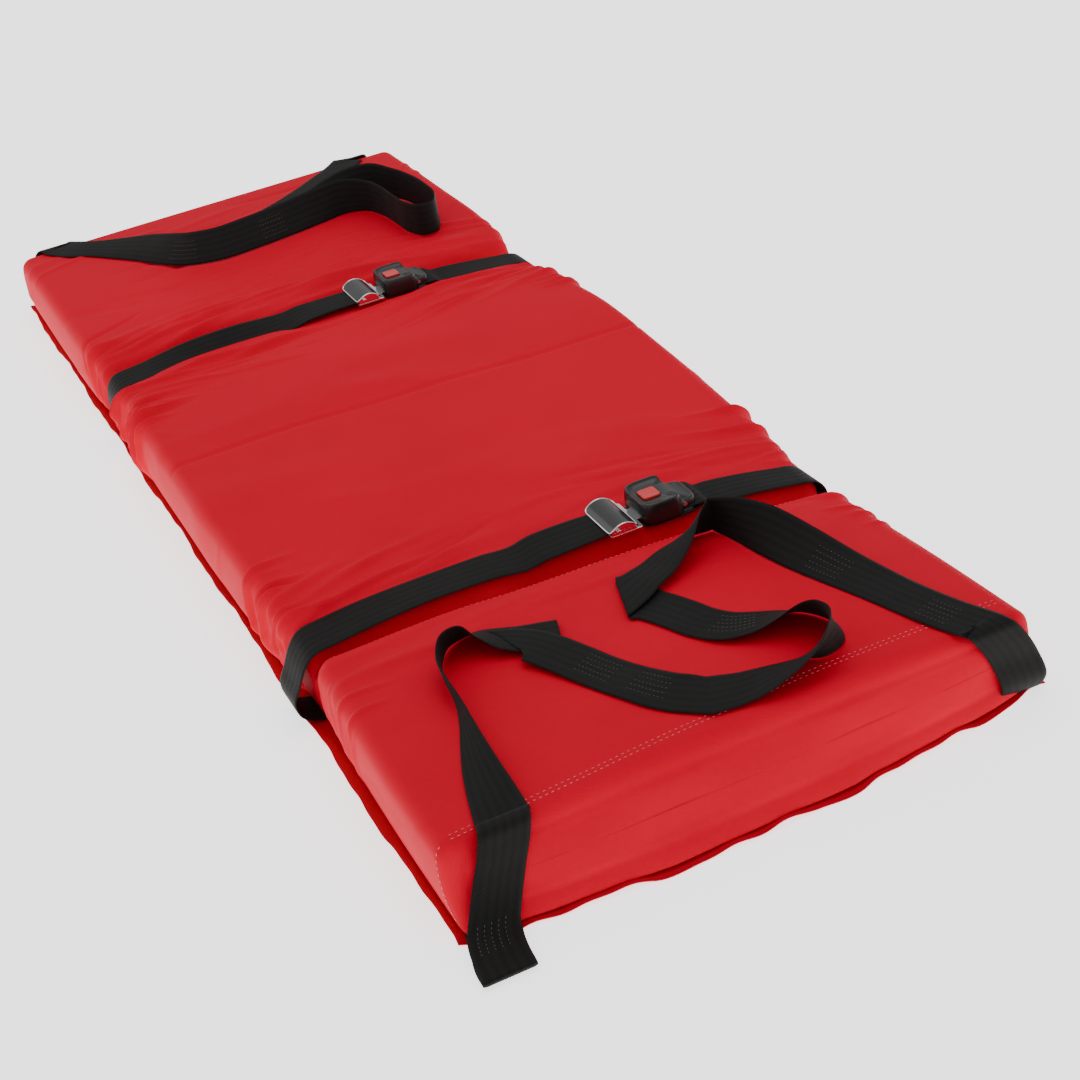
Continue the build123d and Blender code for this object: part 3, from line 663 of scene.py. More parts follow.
SPANS = {
    "head": (TORSO_MIDDLE, HEAD_END),
    "middle": (LEG_MIDDLE, TORSO_MIDDLE),
    "foot": (FOOT_END, LEG_MIDDLE),
}
skins = {f"{part}_skin": make_skin(f"{part}_skin", *span) for part, span in SPANS.items()}

# %% [markdown]
# ## Ground sheet
# A thin red sheet is sewn to the mat's underside and stands out a little all round. Its free edge
# is never straight: it waves in and out and lifts off the floor here and there.

# %% Ground sheet
SHEET_PROUD_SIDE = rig.box("head_base_sheet")[1][0] - HALF_WIDTH
SHEET_PROUD_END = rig.box("head_base_sheet")[1][1] - HEAD_END
SHEET_THICK = 0.0016
SHEET_STEP = 0.006
RIM_BAND, RIM_COLUMNS, INNER_COLUMNS = 0.03, 12, 110
HEM_START = 0.012
INSET_SIDE, INSET_END, SIDE_WAVE = 7.6 * MM, 6.0 * MM, 1.2 * MM
SHEET_CLEAR = 0.1 * MM


def make_ground_sheet(name, y_low, y_high):
    """A closed thin slab whose edges wave: points move in and out of the plan and up from the floor."""
    low_end, high_end = y_low <= FOOT_END + 1e-6, y_high >= HEAD_END - 1e-6
    low = y_low - SHEET_PROUD_END if low_end else y_low
    high = y_high + SHEET_PROUD_END if high_end else y_high
    edge_x = HALF_WIDTH + SHEET_PROUD_SIDE
    across = np.concatenate([
        np.linspace(-edge_x, -edge_x + RIM_BAND, RIM_COLUMNS)[:-1],
        np.linspace(-edge_x + RIM_BAND, edge_x - RIM_BAND, INNER_COLUMNS),
        np.linspace(edge_x - RIM_BAND, edge_x, RIM_COLUMNS)[1:],
    ])
    lengthwise = np.linspace(low, high, int((high - low) / SHEET_STEP) + 2)
    x, y = np.meshgrid(across, lengthwise)
    out_x = smooth_step(np.abs(x), HALF_WIDTH - HEM_START, edge_x)
    out_y = np.zeros_like(y)
    if low_end:
        out_y = np.maximum(out_y, smooth_step(-y, -FOOT_END - HEM_START, -low))
    if high_end:
        out_y = np.maximum(out_y, smooth_step(y, HEAD_END - HEM_START, high))
    wave = np.sin(23 * y + 1) + 0.5 * np.sin(61 * y + 2) + 0.25 * np.sin(139 * y)
    end_wave = hem_wave(x)
    moved_x = x - np.sign(x) * out_x * (INSET_SIDE + SIDE_WAVE * wave)
    moved_y = y - np.sign(y) * out_y * (INSET_END + HEM_WAVE * end_wave) + foot_slump(x, y, 0 * x)
    side_lift, end_lift = 1.0 * MM + SIDE_WAVE * wave, 1.6 * MM + 1.7 * MM * end_wave
    lift = out_x * np.clip(side_lift, 0, None) + out_y * np.clip(end_lift, 0, None)
    lower = np.stack([moved_x, moved_y, lift + SHEET_CLEAR], axis=-1).reshape(-1, 3)
    upper = lower + [0, 0, SHEET_THICK]
    rows, columns = x.shape
    count = rows * columns
    top = grid_quads(rows, columns, False)
    rim = np.concatenate([
        np.arange(columns), np.arange(1, rows) * columns + columns - 1,
        (rows - 1) * columns + np.arange(columns - 2, -1, -1), np.arange(rows - 2, 0, -1) * columns,
    ])
    following = np.roll(rim, -1)
    wall = np.stack([rim, following, following + count, rim + count], axis=-1)
    faces = top[:, ::-1].tolist() + (top + count).tolist() + wall.tolist()
    uv = np.tile(np.stack([x.ravel(), y.ravel()], axis=1), (2, 1))
    return make_object(name, np.concatenate([lower, upper]), faces, uv)


sheets = {
    f"{part}_ground_sheet": make_ground_sheet(f"{part}_ground_sheet", *span) for part, span in SPANS.items()
}

# %% [markdown]
# ## Webbing
# Webbing is a flat band that keeps its width however it turns, so it is a centre line plus, at
# every point, the direction its width points in. Lying flat, that direction is level; on edge it is
# upright. The band's own section is a thin flat oval, a little thicker at its woven selvedges.

# %% Webbing band
WEBBING_WIDTH = 0.051
WEBBING_THICK = 0.0018
BAND_LOWEST = 0.0022
BAND_STEP, BAND_COLUMNS = 0.004, 17
SELVEDGE = 0.18
SHARPEST_EDGE = 0.02
BAND_FRAMES = {}


def dense(centres, wides):
    """Centres and half-width vectors of one smooth run, resampled every few millimetres along it."""
    centres, wides = np.asarray(centres, float), np.asarray(wides, float)
    run = np.concatenate([[0], np.cumsum(np.linalg.norm(np.diff(centres, axis=0), axis=1))])
    at = np.linspace(0, run[-1], int(run[-1] / BAND_STEP) + 2)
    values = through(np.column_stack([run, centres, wides]), at)
    limit = np.interp(at, run, np.linalg.norm(wides, axis=1))
    values[:, 2] = np.maximum(values[:, 2], BAND_LOWEST)
    return values[:, :3], unit(values[:, 3:6]) * limit[:, None]


def band(name, runs):
    """A closed band through several runs, each a pair of centres and half-width vectors. It bends
    smoothly inside a run and creases where one run meets the next."""
    parts = [dense(*run) for run in runs]
    line, half = (np.concatenate([p[k] for p in parts]) for k in (0, 1))
    keep = np.concatenate([[True], np.linalg.norm(np.diff(line, axis=0), axis=1) > 1e-5])
    line, half = line[keep], half[keep]
    face = unit(np.cross(half, np.gradient(line, axis=0)))
    across = np.linspace(-1, 1, BAND_COLUMNS)
    rounding = np.sqrt(np.clip(1 - np.abs(across) ** 14, SHARPEST_EDGE, 1))
    thick = WEBBING_THICK / 2 * rounding * (1 + SELVEDGE * np.abs(across) ** 6)
    loop_w = np.concatenate([across, across[::-1]])
    loop_t = np.concatenate([thick, -thick[::-1]])
    points = line[:, None] + half[:, None] * loop_w[None, :, None] + face[:, None] * loop_t[None, :, None]
    rows, columns = points.shape[:2]
    quads = grid_quads(rows, columns, True)
    faces = quads.tolist() + [list(range(columns))[::-1], list(range((rows - 1) * columns, rows * columns))]
    length_at = np.concatenate([[0], np.cumsum(np.linalg.norm(np.diff(line, axis=0), axis=1))])
    uv = np.stack([np.tile(loop_w * WEBBING_WIDTH / 2, rows), np.repeat(length_at, columns)], axis=1)
    obj = make_object(name, points.reshape(-1, 3), faces, uv)
    obj["length_m"] = float(length_at[-1])
    BAND_FRAMES[name] = (length_at, line, half, face)
    print(name, "length %.3f m" % length_at[-1])
    return obj


def on_skin(u, y, off):
    """A point just outside the skin at cloth place (u, y), off along the section's normal."""
    x, y_at, z = skin(np.array([u]), np.array([y]))[0]
    _, _, nx, nz = section(np.array([u]))
    return [x + float(nx[0]) * off, y_at, z + float(nz[0]) * off]


# %% [markdown]
# ## Belts
# Each belt is sewn in under the mat, comes round the side and lies across the top. The long left
# one lifts a little before it threads its tongue set; the leg belt also hangs off the side in a
# loose loop.

# %% Belts
BELT_OFF = 0.0022
BELT_LOWEST = 0.0028
TONGUE_BELT_Z = 0.0945
TONGUE_START_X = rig.box("chest_tongue_bracket")[0][0]
TAIL_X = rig.box("chest_buckle_housing_top")[1][0]


LEAN = {
    "chest": [
        (-330, 0), (-290, 3), (-250, 4), (-180, 20), (-110, 24), (-40, 6),
        (60, 0), (160, 2), (290, -2), (330, 0),
    ],
    "leg": [
        (-330, 0), (-290, 4), (-240, 4), (-150, 0), (-80, 2), (-20, 6),
        (60, 0), (160, 2), (290, -2), (330, 0),
    ],
}
DRIFT = {
    "chest": [(-330, -3), (-220, 3), (-100, -2), (-30, 0), (60, 0), (160, 0), (330, -6)],
    "leg": [(-330, 2), (-240, 9), (-165, 11), (-90, 8), (-20, 2), (60, 0), (160, 0), (330, -8)],
}
WIDEST = 0.33
SEWN_UNDER = 0.07
LOOP_HEIGHT, LOOP_SPREAD = 0.03, 0.035


def belt_route(belt, side, u_inner, loop_out):
    """Points from under the mat round one side and over the top as far as u_inner. loop_out is how far
    the webbing stands off the side."""
    u_values = np.concatenate([
        np.linspace(SIDE_FOOT_U + SEWN_UNDER, SIDE_FOOT_U, 4)[:-1],
        np.linspace(SIDE_FOOT_U, TOP_EDGE_U + 0.02, 5)[:-1],
        np.linspace(TOP_EDGE_U + 0.02, TOP_EDGE_U - 0.01, 4)[:-1],
        np.linspace(TOP_EDGE_U - 0.01, u_inner, 9),
    ])
    points = []
    for u in u_values:
        place = side * min(u, WIDEST)
        y = BELT_Y[belt] + float(along(DRIFT[belt], np.array([place]))[0])
        stand = loop_out * math.exp(-(((u - SIDE_FOOT_U + LOOP_HEIGHT) / LOOP_SPREAD) ** 2))
        x, y, z = on_skin(side * u, y, BELT_OFF + stand)
        points.append([x, y, max(z, BELT_LOWEST)])
    return points


def belt_widths(belt, route):
    """Half-width vectors along the mat, leaning by the belt's own curve of degrees."""
    places = np.clip(np.array(route)[:, 0], -WIDEST, WIDEST)
    lean = np.radians(through(np.asarray(LEAN[belt], float) * [MM, 1], places)[:, 0])
    lean = lean * smooth_step(np.array(route)[:, 2], 0.01, 0.05)
    return WEBBING_WIDTH / 2 * np.stack([np.zeros(len(lean)), np.cos(lean), np.sin(lean)], axis=1)


belts = {}
for belt, loop_out in (("chest", 0.004), ("leg", 0.022)):
    y_at = BELT_Y[belt]
    route = belt_route(belt, -1, 0.085, loop_out)
    route += [[-0.050, y_at, 0.0898], [-0.030, y_at, 0.0935]]
    route += [[-0.005, y_at, TONGUE_BELT_Z], [0.058, y_at, TONGUE_BELT_Z]]
    belts[f"{belt}_belt_long"] = band(f"{belt}_belt_left", [(route, belt_widths(belt, route))])
    route = belt_route(belt, 1, TAIL_X + 0.022, 0.002)
    route += [[TAIL_X + 0.008, y_at, 0.0915], [TAIL_X - 0.004, y_at, 0.0925], [TAIL_X - 0.020, y_at, 0.0925]]
    belts[f"{belt}_belt_short"] = band(f"{belt}_belt_right", [(route, belt_widths(belt, route))])

# %% [markdown]
# ## Carry straps
# Each carry strap starts under one corner, comes up the end face, wanders over the mat's top in
# loose turns and goes down at the other corner. The route is a given list: a place, the band's
# roll in degrees (0 flat, 90 on edge), how many layers it lies on, and the share of its full width
# where it is pinched.

# %% Carry straps
STRAP_OFF = 0.0020
LAYER = 2.6


def end_run(points):
    """A run down or up an end face: places in metres with the width level across the mat."""
    return np.array(points, float), np.tile([WEBBING_WIDTH / 2, 0, 0], (len(points), 1))


def top_run(stations, fold_in=None, fold_out=None):
    """A run over the mat's top. A station is (x, y, roll, layers) in millimetres and degrees, and, where
    the webbing is pinched, the share of its full width. roll turns the width up from the right of the way
    the strap runs, and layers is how many thicknesses of webbing lie below. fold_in and fold_out, (degrees
    in plan, share), set the width at the run's first and last station along a crease."""
    table = np.array([station[:4] for station in stations], float)
    plan = table[:, :2] * MM
    heading = unit(np.gradient(plan, axis=0))
    roll = np.radians(table[:, 2])[:, None]
    right_hand = np.column_stack([heading[:, 1], -heading[:, 0], np.zeros(len(plan))])
    half = WEBBING_WIDTH / 2 * (right_hand * np.cos(roll) + np.array([0, 0, 1.0]) * np.sin(roll))
    half *= np.array([station[4] if len(station) > 4 else 1.0 for station in stations])[:, None]
    for crease, at in ((fold_in, 0), (fold_out, -1)):
        if crease:
            angle = math.radians(crease[0])
            half[at] = WEBBING_WIDTH / 2 * crease[1] * np.array([math.cos(angle), math.sin(angle), 0])
    ground = top_height(plan[:, 0], plan[:, 1])
    z = ground + STRAP_OFF + np.abs(half[:, 2]) + table[:, 3] * LAYER * MM
    return np.column_stack([plan, z]), half


FOOT_FACE = FOOT_END - 0.0065
HEAD_FACE = HEAD_END + 0.0065
foot_runs = [
    end_run([
        [-0.268, FOOT_END + 0.07, 0.0036], [-0.270, FOOT_END + 0.01, 0.0036],
        [-0.278, FOOT_END - 0.030, 0.0030], [-0.286, FOOT_END - 0.066, 0.0028],
        [-0.287, FOOT_END - 0.084, 0.0040],
    ]),
    end_run([
        [-0.287, FOOT_END - 0.084, 0.0066], [-0.285, FOOT_END - 0.060, 0.0086],
        [-0.279, FOOT_END - 0.034, 0.0140],
        [-0.270, FOOT_FACE - 0.016, 0.0270], [-0.258, FOOT_FACE - 0.006, 0.0500], [-0.247, FOOT_FACE, 0.0740],
        [-0.242, FOOT_FACE + 0.005, 0.0880], [-0.238, FOOT_FACE + 0.018, 0.0895],
    ]),
    top_run([
        (-238, -838, 0, 0), (-233, -800, 8, 0, 0.84), (-227, -762, 16, 0, 0.66), (-220, -728, 28, 0, 0.48),
        (-213, -698, 46, 0, 0.34), (-208, -672, 74, 0, 0.32), (-206, -648, 94, 0, 0.42),
        (-203, -618, 98, 0, 0.56),
        (-191, -592, 84, 0, 0.68), (-172, -578, 56, 0, 0.8), (-150, -579, 26, 0, 0.92), (-128, -592, 10, 0),
        (-104, -606, 3, 0), (-78, -617, 0, 0),
    ], None, (-107, 1.0)),
    top_run([(-78, -617, 180, 1), (-103, -608, 180, 1), (-128, -601, 180, 1)], (-107, 1.0), (-76, 1.12)),
    top_run([
        (-128, -601, 0, 2.2), (-106, -630, 0, 2), (-88, -664, 0, 1), (-71, -700, 0, 0), (-54, -735, -2, 0),
        (-37, -766, -6, 0), (-8, -790, -8, 0),
    ], (-76, 1.12), (-112, 1.18)),
    top_run([
        (-8, -790, -8, 0), (24, -799, 2, 0), (58, -806, 18, 0), (90, -809, 44, 0), (115, -803, 84, 0),
        (128, -786, 112, 0), (130, -764, 126, 0), (120, -744, 140, 0), (102, -730, 156, 0),
        (80, -718, 170, 0), (60, -704, 178, 0),
        (44, -682, 180, 0), (33, -655, 180, 0), (19, -625, 180, 0), (0, -597, 180, 0),
    ], (-112, 1.18), (-106, 1.42)),
    top_run([
        (0, -597, 0, 1), (26, -585, 4, 1), (54, -573, 12, 0), (84, -557, 28, 0), (110, -545, 56, 0, 0.92),
        (136, -534, 92, 0, 0.74),
    ], (-106, 1.42), None),
    top_run([
        (136, -534, 92, 0, 0.74), (148, -562, 106, 0, 0.9), (164, -598, 128, 0), (181, -640, 150, 0),
        (198, -684, 168, 0), (213, -728, 177, 0), (226, -772, 180, 0), (239, -812, 180, 0),
        (251, -842, 180, 0),
    ]),
    end_run([
        [0.2510, FOOT_END + 0.008, 0.0870], [0.2560, FOOT_FACE + 0.003, 0.0840], [0.2640, FOOT_FACE, 0.0720],
        [0.2770, FOOT_FACE - 0.002, 0.0450], [0.2830, FOOT_FACE - 0.006, 0.0180],
        [0.2820, FOOT_END - 0.006, 0.0040],
        [0.2700, FOOT_END + 0.06, 0.0036],
    ]),
]
head_runs = [
    end_run([
        [-0.266, HEAD_END - 0.07, 0.0036], [-0.272, HEAD_END + 0.001, 0.0040], [-0.276, HEAD_FACE, 0.0200],
        [-0.272, HEAD_FACE, 0.0480], [-0.259, HEAD_FACE, 0.0740], [-0.250, HEAD_FACE - 0.005, 0.0870],
        [-0.246, HEAD_END - 0.010, 0.0890],
    ]),
    top_run([
        (-246, 840, 180, 0), (-226, 806, 176, 0), (-198, 776, 172, 0, 0.9), (-168, 734, 164, 0),
        (-142, 690, 152, 0), (-122, 650, 142, 0), (-98, 618, 136, 0), (-60, 600, 134, 0), (0, 602, 132, 0),
        (60, 610, 128, 0), (110, 616, 118, 0), (150, 616, 104, 0), (176, 598, 96, 0, 0.93),
        (187, 560, 92, 0, 0.93), (190, 510, 90, 0, 0.93), (194, 462, 90, 0, 0.93), (206, 440, 90, 0, 0.93),
        (224, 440, 90, 0, 0.93), (238, 462, 90, 0, 0.93), (243, 510, 90, 0, 0.93), (240, 560, 90, 0, 0.93),
        (228, 612, 88, 0, 0.93), (204, 650, 78, 0), (168, 666, 54, 0), (120, 662, 30, 0), (60, 654, 14, 0),
        (5, 648, 6, 0), (-46, 644, 0, 0),
    ], None, (90, 1.0)),
    top_run([
        (-46, 644, 180, 1), (-20, 662, 180, 1), (20, 684, 180, 1), (70, 712, 180, 0), (120, 744, 180, 0),
        (168, 782, 180, 0), (210, 818, 180, 0), (232, 842, 180, 0),
    ], (90, 1.0), None),
    end_run([
        [0.2320, HEAD_END - 0.008, 0.0890], [0.2380, HEAD_FACE - 0.005, 0.0870], [0.2460, HEAD_FACE, 0.0740],
        [0.2640, HEAD_FACE, 0.0450], [0.2730, HEAD_FACE, 0.0180], [0.2740, HEAD_END + 0.001, 0.0040],
        [0.2660, HEAD_END - 0.06, 0.0036],
    ]),
]
STRAP_RUNS = {"foot": foot_runs, "head": head_runs}
straps = {f"{end}_carry_strap": band(f"{end}_carry_band", runs) for end, runs in STRAP_RUNS.items()}

# %% [markdown]
# ## Buckle shells
# The buckle is a moulded black shell with a rounded mouth, a tapered tail and a raised rim round a
# square button. It is built as a stack of rings: each ring is the outline drawn in by an amount and
# lifted to a height, and the inner rings change from the shell's outline to the button's square.

# %% Buckle shells and buttons
RING_COUNT = 96
ANGLES = np.linspace(0, 2 * np.pi, RING_COUNT, endpoint=False)


def rounded_square(half_x, half_y, power):
    """A superellipse: |x / half_x| ^ power + |y / half_y| ^ power = 1, one point per angle."""
    c, s = np.cos(ANGLES), np.sin(ANGLES)
    radius = (np.abs(c / half_x) ** power + np.abs(s / half_y) ** power) ** (-1 / power)
    return np.stack([radius * c, radius * s], axis=1)


def stacked(name, rings, centre_z_low, centre_z_high):
    """A closed mesh from a stack of rings, with a point at each end."""
    columns = len(rings[0])
    points = np.concatenate(rings + [[np.append(rings[0][:, :2].mean(0), centre_z_low)],
                                     [np.append(rings[-1][:, :2].mean(0), centre_z_high)]])
    quads = grid_quads(len(rings), columns, True)
    last = (len(rings) - 1) * columns
    first_tip, last_tip = len(rings) * columns, len(rings) * columns + 1
    c = np.arange(columns)
    n = (c + 1) % columns
    low = np.stack([n, c, np.full(columns, first_tip)], axis=1)
    high = np.stack([last + c, last + n, np.full(columns, last_tip)], axis=1)
    return make_object(name, points, quads.tolist() + low.tolist() + high.tolist())


SHELL_FLOOR = 0.0872
SHELL_CLOSED_LOW, SHELL_CLOSED_HIGH = 0.0885, 0.0990
SHELL_WIDTH_SHARE, TAIL_NARROWING, TAIL_DROP = 0.97, 0.24, 0.45
SHELL_SQUARENESS, BUTTON_SQUARENESS = 5.5, 7
RAISED_RIM_SHARE = 0.85
WINDOW_MARGIN, CAP_MARGIN = 0.0016, 0.0020


def make_buckle_shell(belt):
    """The shell with its button well, from its packed housing's box. A row of drawn is a ring: the share
    drawn in, how far it has turned into the button's square, and its height."""
    low, high = (np.array(c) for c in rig.box(f"{belt}_buckle_housing_top"))
    button_low, button_high = (np.array(c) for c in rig.box(f"{belt}_button"))
    middle = (low + high) / 2
    half = (high - low) / 2
    button_at = (button_low + button_high) / 2
    window = (button_high[0] - button_low[0]) / 2 - WINDOW_MARGIN
    outline = rounded_square(half[0], half[1] * SHELL_WIDTH_SHARE, SHELL_SQUARENESS)
    outline[:, 1] *= 1 - TAIL_NARROWING * smooth_step(outline[:, 0], 0.15 * half[0], 0.55 * half[0])
    square = rounded_square(window, window, BUTTON_SQUARENESS) + (button_at - middle)[:2]
    drawn = [
        (0.050, 0.0, 0.0880), (0.012, 0.0, 0.0890), (0.0, 0.0, 0.0920), (0.0, 0.0, 0.1000),
        (0.010, 0.0, 0.1050), (0.030, 0.0, 0.1092), (0.045, 0.0, 0.1112), (0.070, 0.0, 0.1122),
        (0.100, 0.0, 0.1122), (0.120, 0.0, 0.1112), (0.150, 0.0, 0.1094), (0.0, 0.60, 0.1092),
        (0.0, 0.96, 0.1092), (0.0, 1.0, 0.1088), (0.0, 1.0, 0.1040), (0.0, 1.0, 0.0990),
    ]
    rings = []
    for inset, to_square, height in drawn:
        base = outline * (1 - inset)
        if to_square:
            base = outline * RAISED_RIM_SHARE * (1 - to_square) + square * to_square
        fall = smooth_step(base[:, 0], 0.26 * half[0], 0.50 * half[0]) * TAIL_DROP
        z = SHELL_FLOOR + (height - SHELL_FLOOR) * (1 - fall)
        rings.append(np.column_stack([base + middle[:2], z]))
    return stacked(f"{belt}_buckle_shell", rings, SHELL_CLOSED_LOW, SHELL_CLOSED_HIGH)


WELL_TOP, DISH = 0.1078, 0.1105


def make_button_cap(belt):
    """Square cap with soft edges, a shallow dish on top and a well underneath for its spring."""
    low, high = (np.array(c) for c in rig.box(f"{belt}_button"))
    middle = (low + high) / 2
    half = (high[0] - low[0]) / 2 - CAP_MARGIN
    well = [(0.2, WELL_TOP), (0.62, WELL_TOP), (0.66, 0.1074), (0.66, 0.1037), (0.70, 0.1034)]
    outside = [
        (0.96, 0.1034), (1.0, 0.1040), (1.0, 0.1096), (0.985, 0.1106), (0.93, 0.1111), (0.80, 0.1109),
        (0.5, 0.1106), (0.2, DISH),
    ]
    rings = []
    for share, z in well + outside:
        square = rounded_square(half * share, half * share, BUTTON_SQUARENESS) + middle[:2]
        rings.append(np.column_stack([square, np.full(RING_COUNT, z)]))
    return stacked(f"{belt}_button_cap", rings, WELL_TOP, DISH)


def tube(name, line, radius, sides=12):
    """A closed loop of round bar along line."""
    line = np.asarray(line, float)
    ahead = unit(np.roll(line, -1, axis=0) - np.roll(line, 1, axis=0))
    aside = unit(np.cross(ahead, unit(line - line.mean(0) + [0, 0, 0.001])))
    above = np.cross(aside, ahead)
    turn = np.linspace(0, 2 * np.pi, sides, endpoint=False)
    c, s = np.cos(turn)[None, :, None], np.sin(turn)[None, :, None]
    points = line[:, None] + radius * (aside[:, None] * c + above[:, None] * s)
    rows = len(line)
    quads = grid_quads(rows, sides, True)
    join = grid_quads(2, sides, True)
    join = np.where(join >= sides, join - sides, join + (rows - 1) * sides)
    return make_object(name, points.reshape(-1, 3), quads.tolist() + join.tolist())


RIM_RADIUS, RIM_LIFT, RIM_PROUD = 0.0010, 0.0004, 0.0002
RIM_SQUARENESS = 14


def make_cover_rim(belt):
    """Chrome edge round the curved cover plate: a round bar that follows the plate's arch and sides."""
    low, high = (np.array(c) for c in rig.box(f"{belt}_tongue_cover_plate"))
    middle, half = (low + high) / 2, (high - low) / 2
    outline = rounded_square(half[0] - RIM_LIFT, half[1] + RIM_PROUD, RIM_SQUARENESS)
    arch = low[2] + RIM_LIFT + (high[2] - low[2] - 2 * RIM_LIFT) * (1 - (outline[:, 0] / half[0]) ** 2)
    return tube(f"{belt}_cover_rim", np.column_stack([outline + middle[:2], arch]), RIM_RADIUS)


hardware = {}
for belt in BELT_Y:
    hardware[f"{belt}_shell"] = make_buckle_shell(belt)
    hardware[f"{belt}_cap"] = make_button_cap(belt)
    hardware[f"{belt}_rim"] = make_cover_rim(belt)
print("hardware pieces", len(hardware))

# %% [markdown]
# ## Stitching
# Two rows of stitches run along the foot end's top edge, one row goes down its left corner, and
# one lies beside the foot fold. Their thread is painted a pale pink, much lighter than the cloth, so
# besides the stitching it paints the highlight that the seam ridges and rims catch. Dark rows hold
# the straps' sewn patches. A stitch is a small lozenge half sunk in the cloth, and a row is the same
# lozenge repeated.

# %% Stitches
STITCH_LENGTH, STITCH_WIDTH, STITCH_GAP = 0.0042, 0.0009, 0.0062


def read_at(at, run, values):
    """Rows of values, given at the distances run, read by straight lines at the distances at."""
    return np.stack([np.interp(at, run, values[:, k]) for k in range(3)], axis=1)


def stitch_line(line, above, width=STITCH_WIDTH, length=STITCH_LENGTH, gap=STITCH_GAP):
    """Lozenges along a line of points, one every gap, as thick in the direction above as they are wide."""
    run = np.concatenate([[0], np.cumsum(np.linalg.norm(np.diff(line, axis=0), axis=1))])
    at = np.arange(gap, run[-1] - gap / 2, gap)
    centre, up_at = read_at(at, run, line), read_at(at, run, above)
    ahead = unit(read_at(at + 0.001, run, line) - centre)
    aside = unit(np.cross(up_at, ahead))
    shape = np.array([[-1, 0, 0], [0, -1, 0], [1, 0, 0], [0, 1, 0], [0, 0, 1], [0, 0, -1]], float)
    shape = shape * [length / 2, width / 2, width / 2]
    frame_at = np.stack([ahead, aside, np.cross(ahead, aside)], axis=1)
    points = centre[:, None] + np.einsum("sk,nkx->nsx", shape, frame_at)
    corner = np.array([
        [0, 1, 4], [1, 2, 4], [2, 3, 4], [3, 0, 4], [1, 0, 5], [2, 1, 5], [3, 2, 5], [0, 3, 5],
    ])
    faces = corner[None] + 6 * np.arange(len(at))[:, None, None]
    return points.reshape(-1, 3), faces.reshape(-1, 3)


def make_stitches(name, lines, **sizes):
    """Several lines of stitches, each a pair of points and upward directions, as one object."""
    points, faces, count = [], [], 0
    for line, above in lines:
        row_points, row_faces = stitch_line(line, above, **sizes)
        points.append(row_points)
        faces.append(row_faces + count)
        count += len(row_points)
    return make_object(name, np.concatenate(points), np.concatenate(faces).tolist())


def on_cloth(u_values, y_values):
    """A line on the skin at cloth places, with its upward directions."""
    return skin(u_values, y_values), np.tile([0, 0, 1.0], (len(u_values), 1))


def band_patch(name, start, length, offsets):
    """Lines along a band from start for length metres, on both faces, one for each share of its half
    width."""
    length_at, line, half, face = BAND_FRAMES[name]
    at = np.linspace(start, start + length, 40)
    centre, wide, out = (read_at(at, length_at, values) for values in (line, half, face))
    proud = WEBBING_THICK / 2
    return [
        (centre + wide * share + unit(out) * proud * side, unit(out) * side)
        for share in offsets for side in (1, -1)
    ]


row_u = np.linspace(-TOP_EDGE_U - 0.004, TOP_EDGE_U + 0.004, 300)
row_y = FOOT_END + 0.008 + 0.024 * smooth_step(row_u, -0.30, 0.25)
corner_seam = skin(np.linspace(-TOP_EDGE_U - 0.006, -SIDE_FOOT_U + 0.014, 60), FOOT_END + 0.010)
corner_up = np.tile([-1.0, 0, 0], (len(corner_seam), 1))
foot_stitches = make_stitches(
    "foot_end_stitches", [on_cloth(row_u, row_y), on_cloth(row_u, row_y + 0.006), (corner_seam, corner_up)]
)
fold_stitches = make_stitches("foot_fold_stitches", [on_cloth(row_u, fold_line("foot", row_u) - 0.017)])
FIVE_ROWS = (-0.62, -0.36, -0.10, 0.16, 0.42)
SEWN = {
    "foot": [(0.185, 0.036), (0.842, 0.046), (0.904, 0.044), (1.226, 0.046), (1.662, 0.046), (1.800, 0.040)],
    "head": [(0.42, 0.045), (0.56, 0.045)],
}
strap_stitches = {
    end: make_stitches(
        f"{end}_strap_stitches",
        sum((band_patch(f"{end}_carry_band", at, run, FIVE_ROWS) for at, run in places), []),
        width=0.0012, length=0.0036, gap=0.0044,
    )
    for end, places in SEWN.items()
}
all_stitches = (foot_stitches, fold_stitches, *strap_stitches.values())
print("stitches", sum(len(piece.data.polygons) // 8 for piece in all_stitches))

# %% [markdown]
# ## Shader sums as expressions
# Materials are easier to read when node maths looks like maths. `Wire` wraps a socket, and an
# operator on two wires adds the Math node for it. Any other node comes from `Paint.node`.


# %% Shader helpers
class Wire:
    """A value socket that can be used in sums; plain numbers may stand on either side."""

    def __init__(self, paint, socket):
        self.paint, self.socket = paint, socket

    def join(self, operation, *others):
        return self.paint.node("ShaderNodeMath", {"operation": operation}, dict(enumerate((self, *others))))

    def __add__(self, other):
        return self.join("ADD", other)

    def __mul__(self, other):
        return self.join("MULTIPLY", other)

    __radd__, __rmul__ = __add__, __mul__


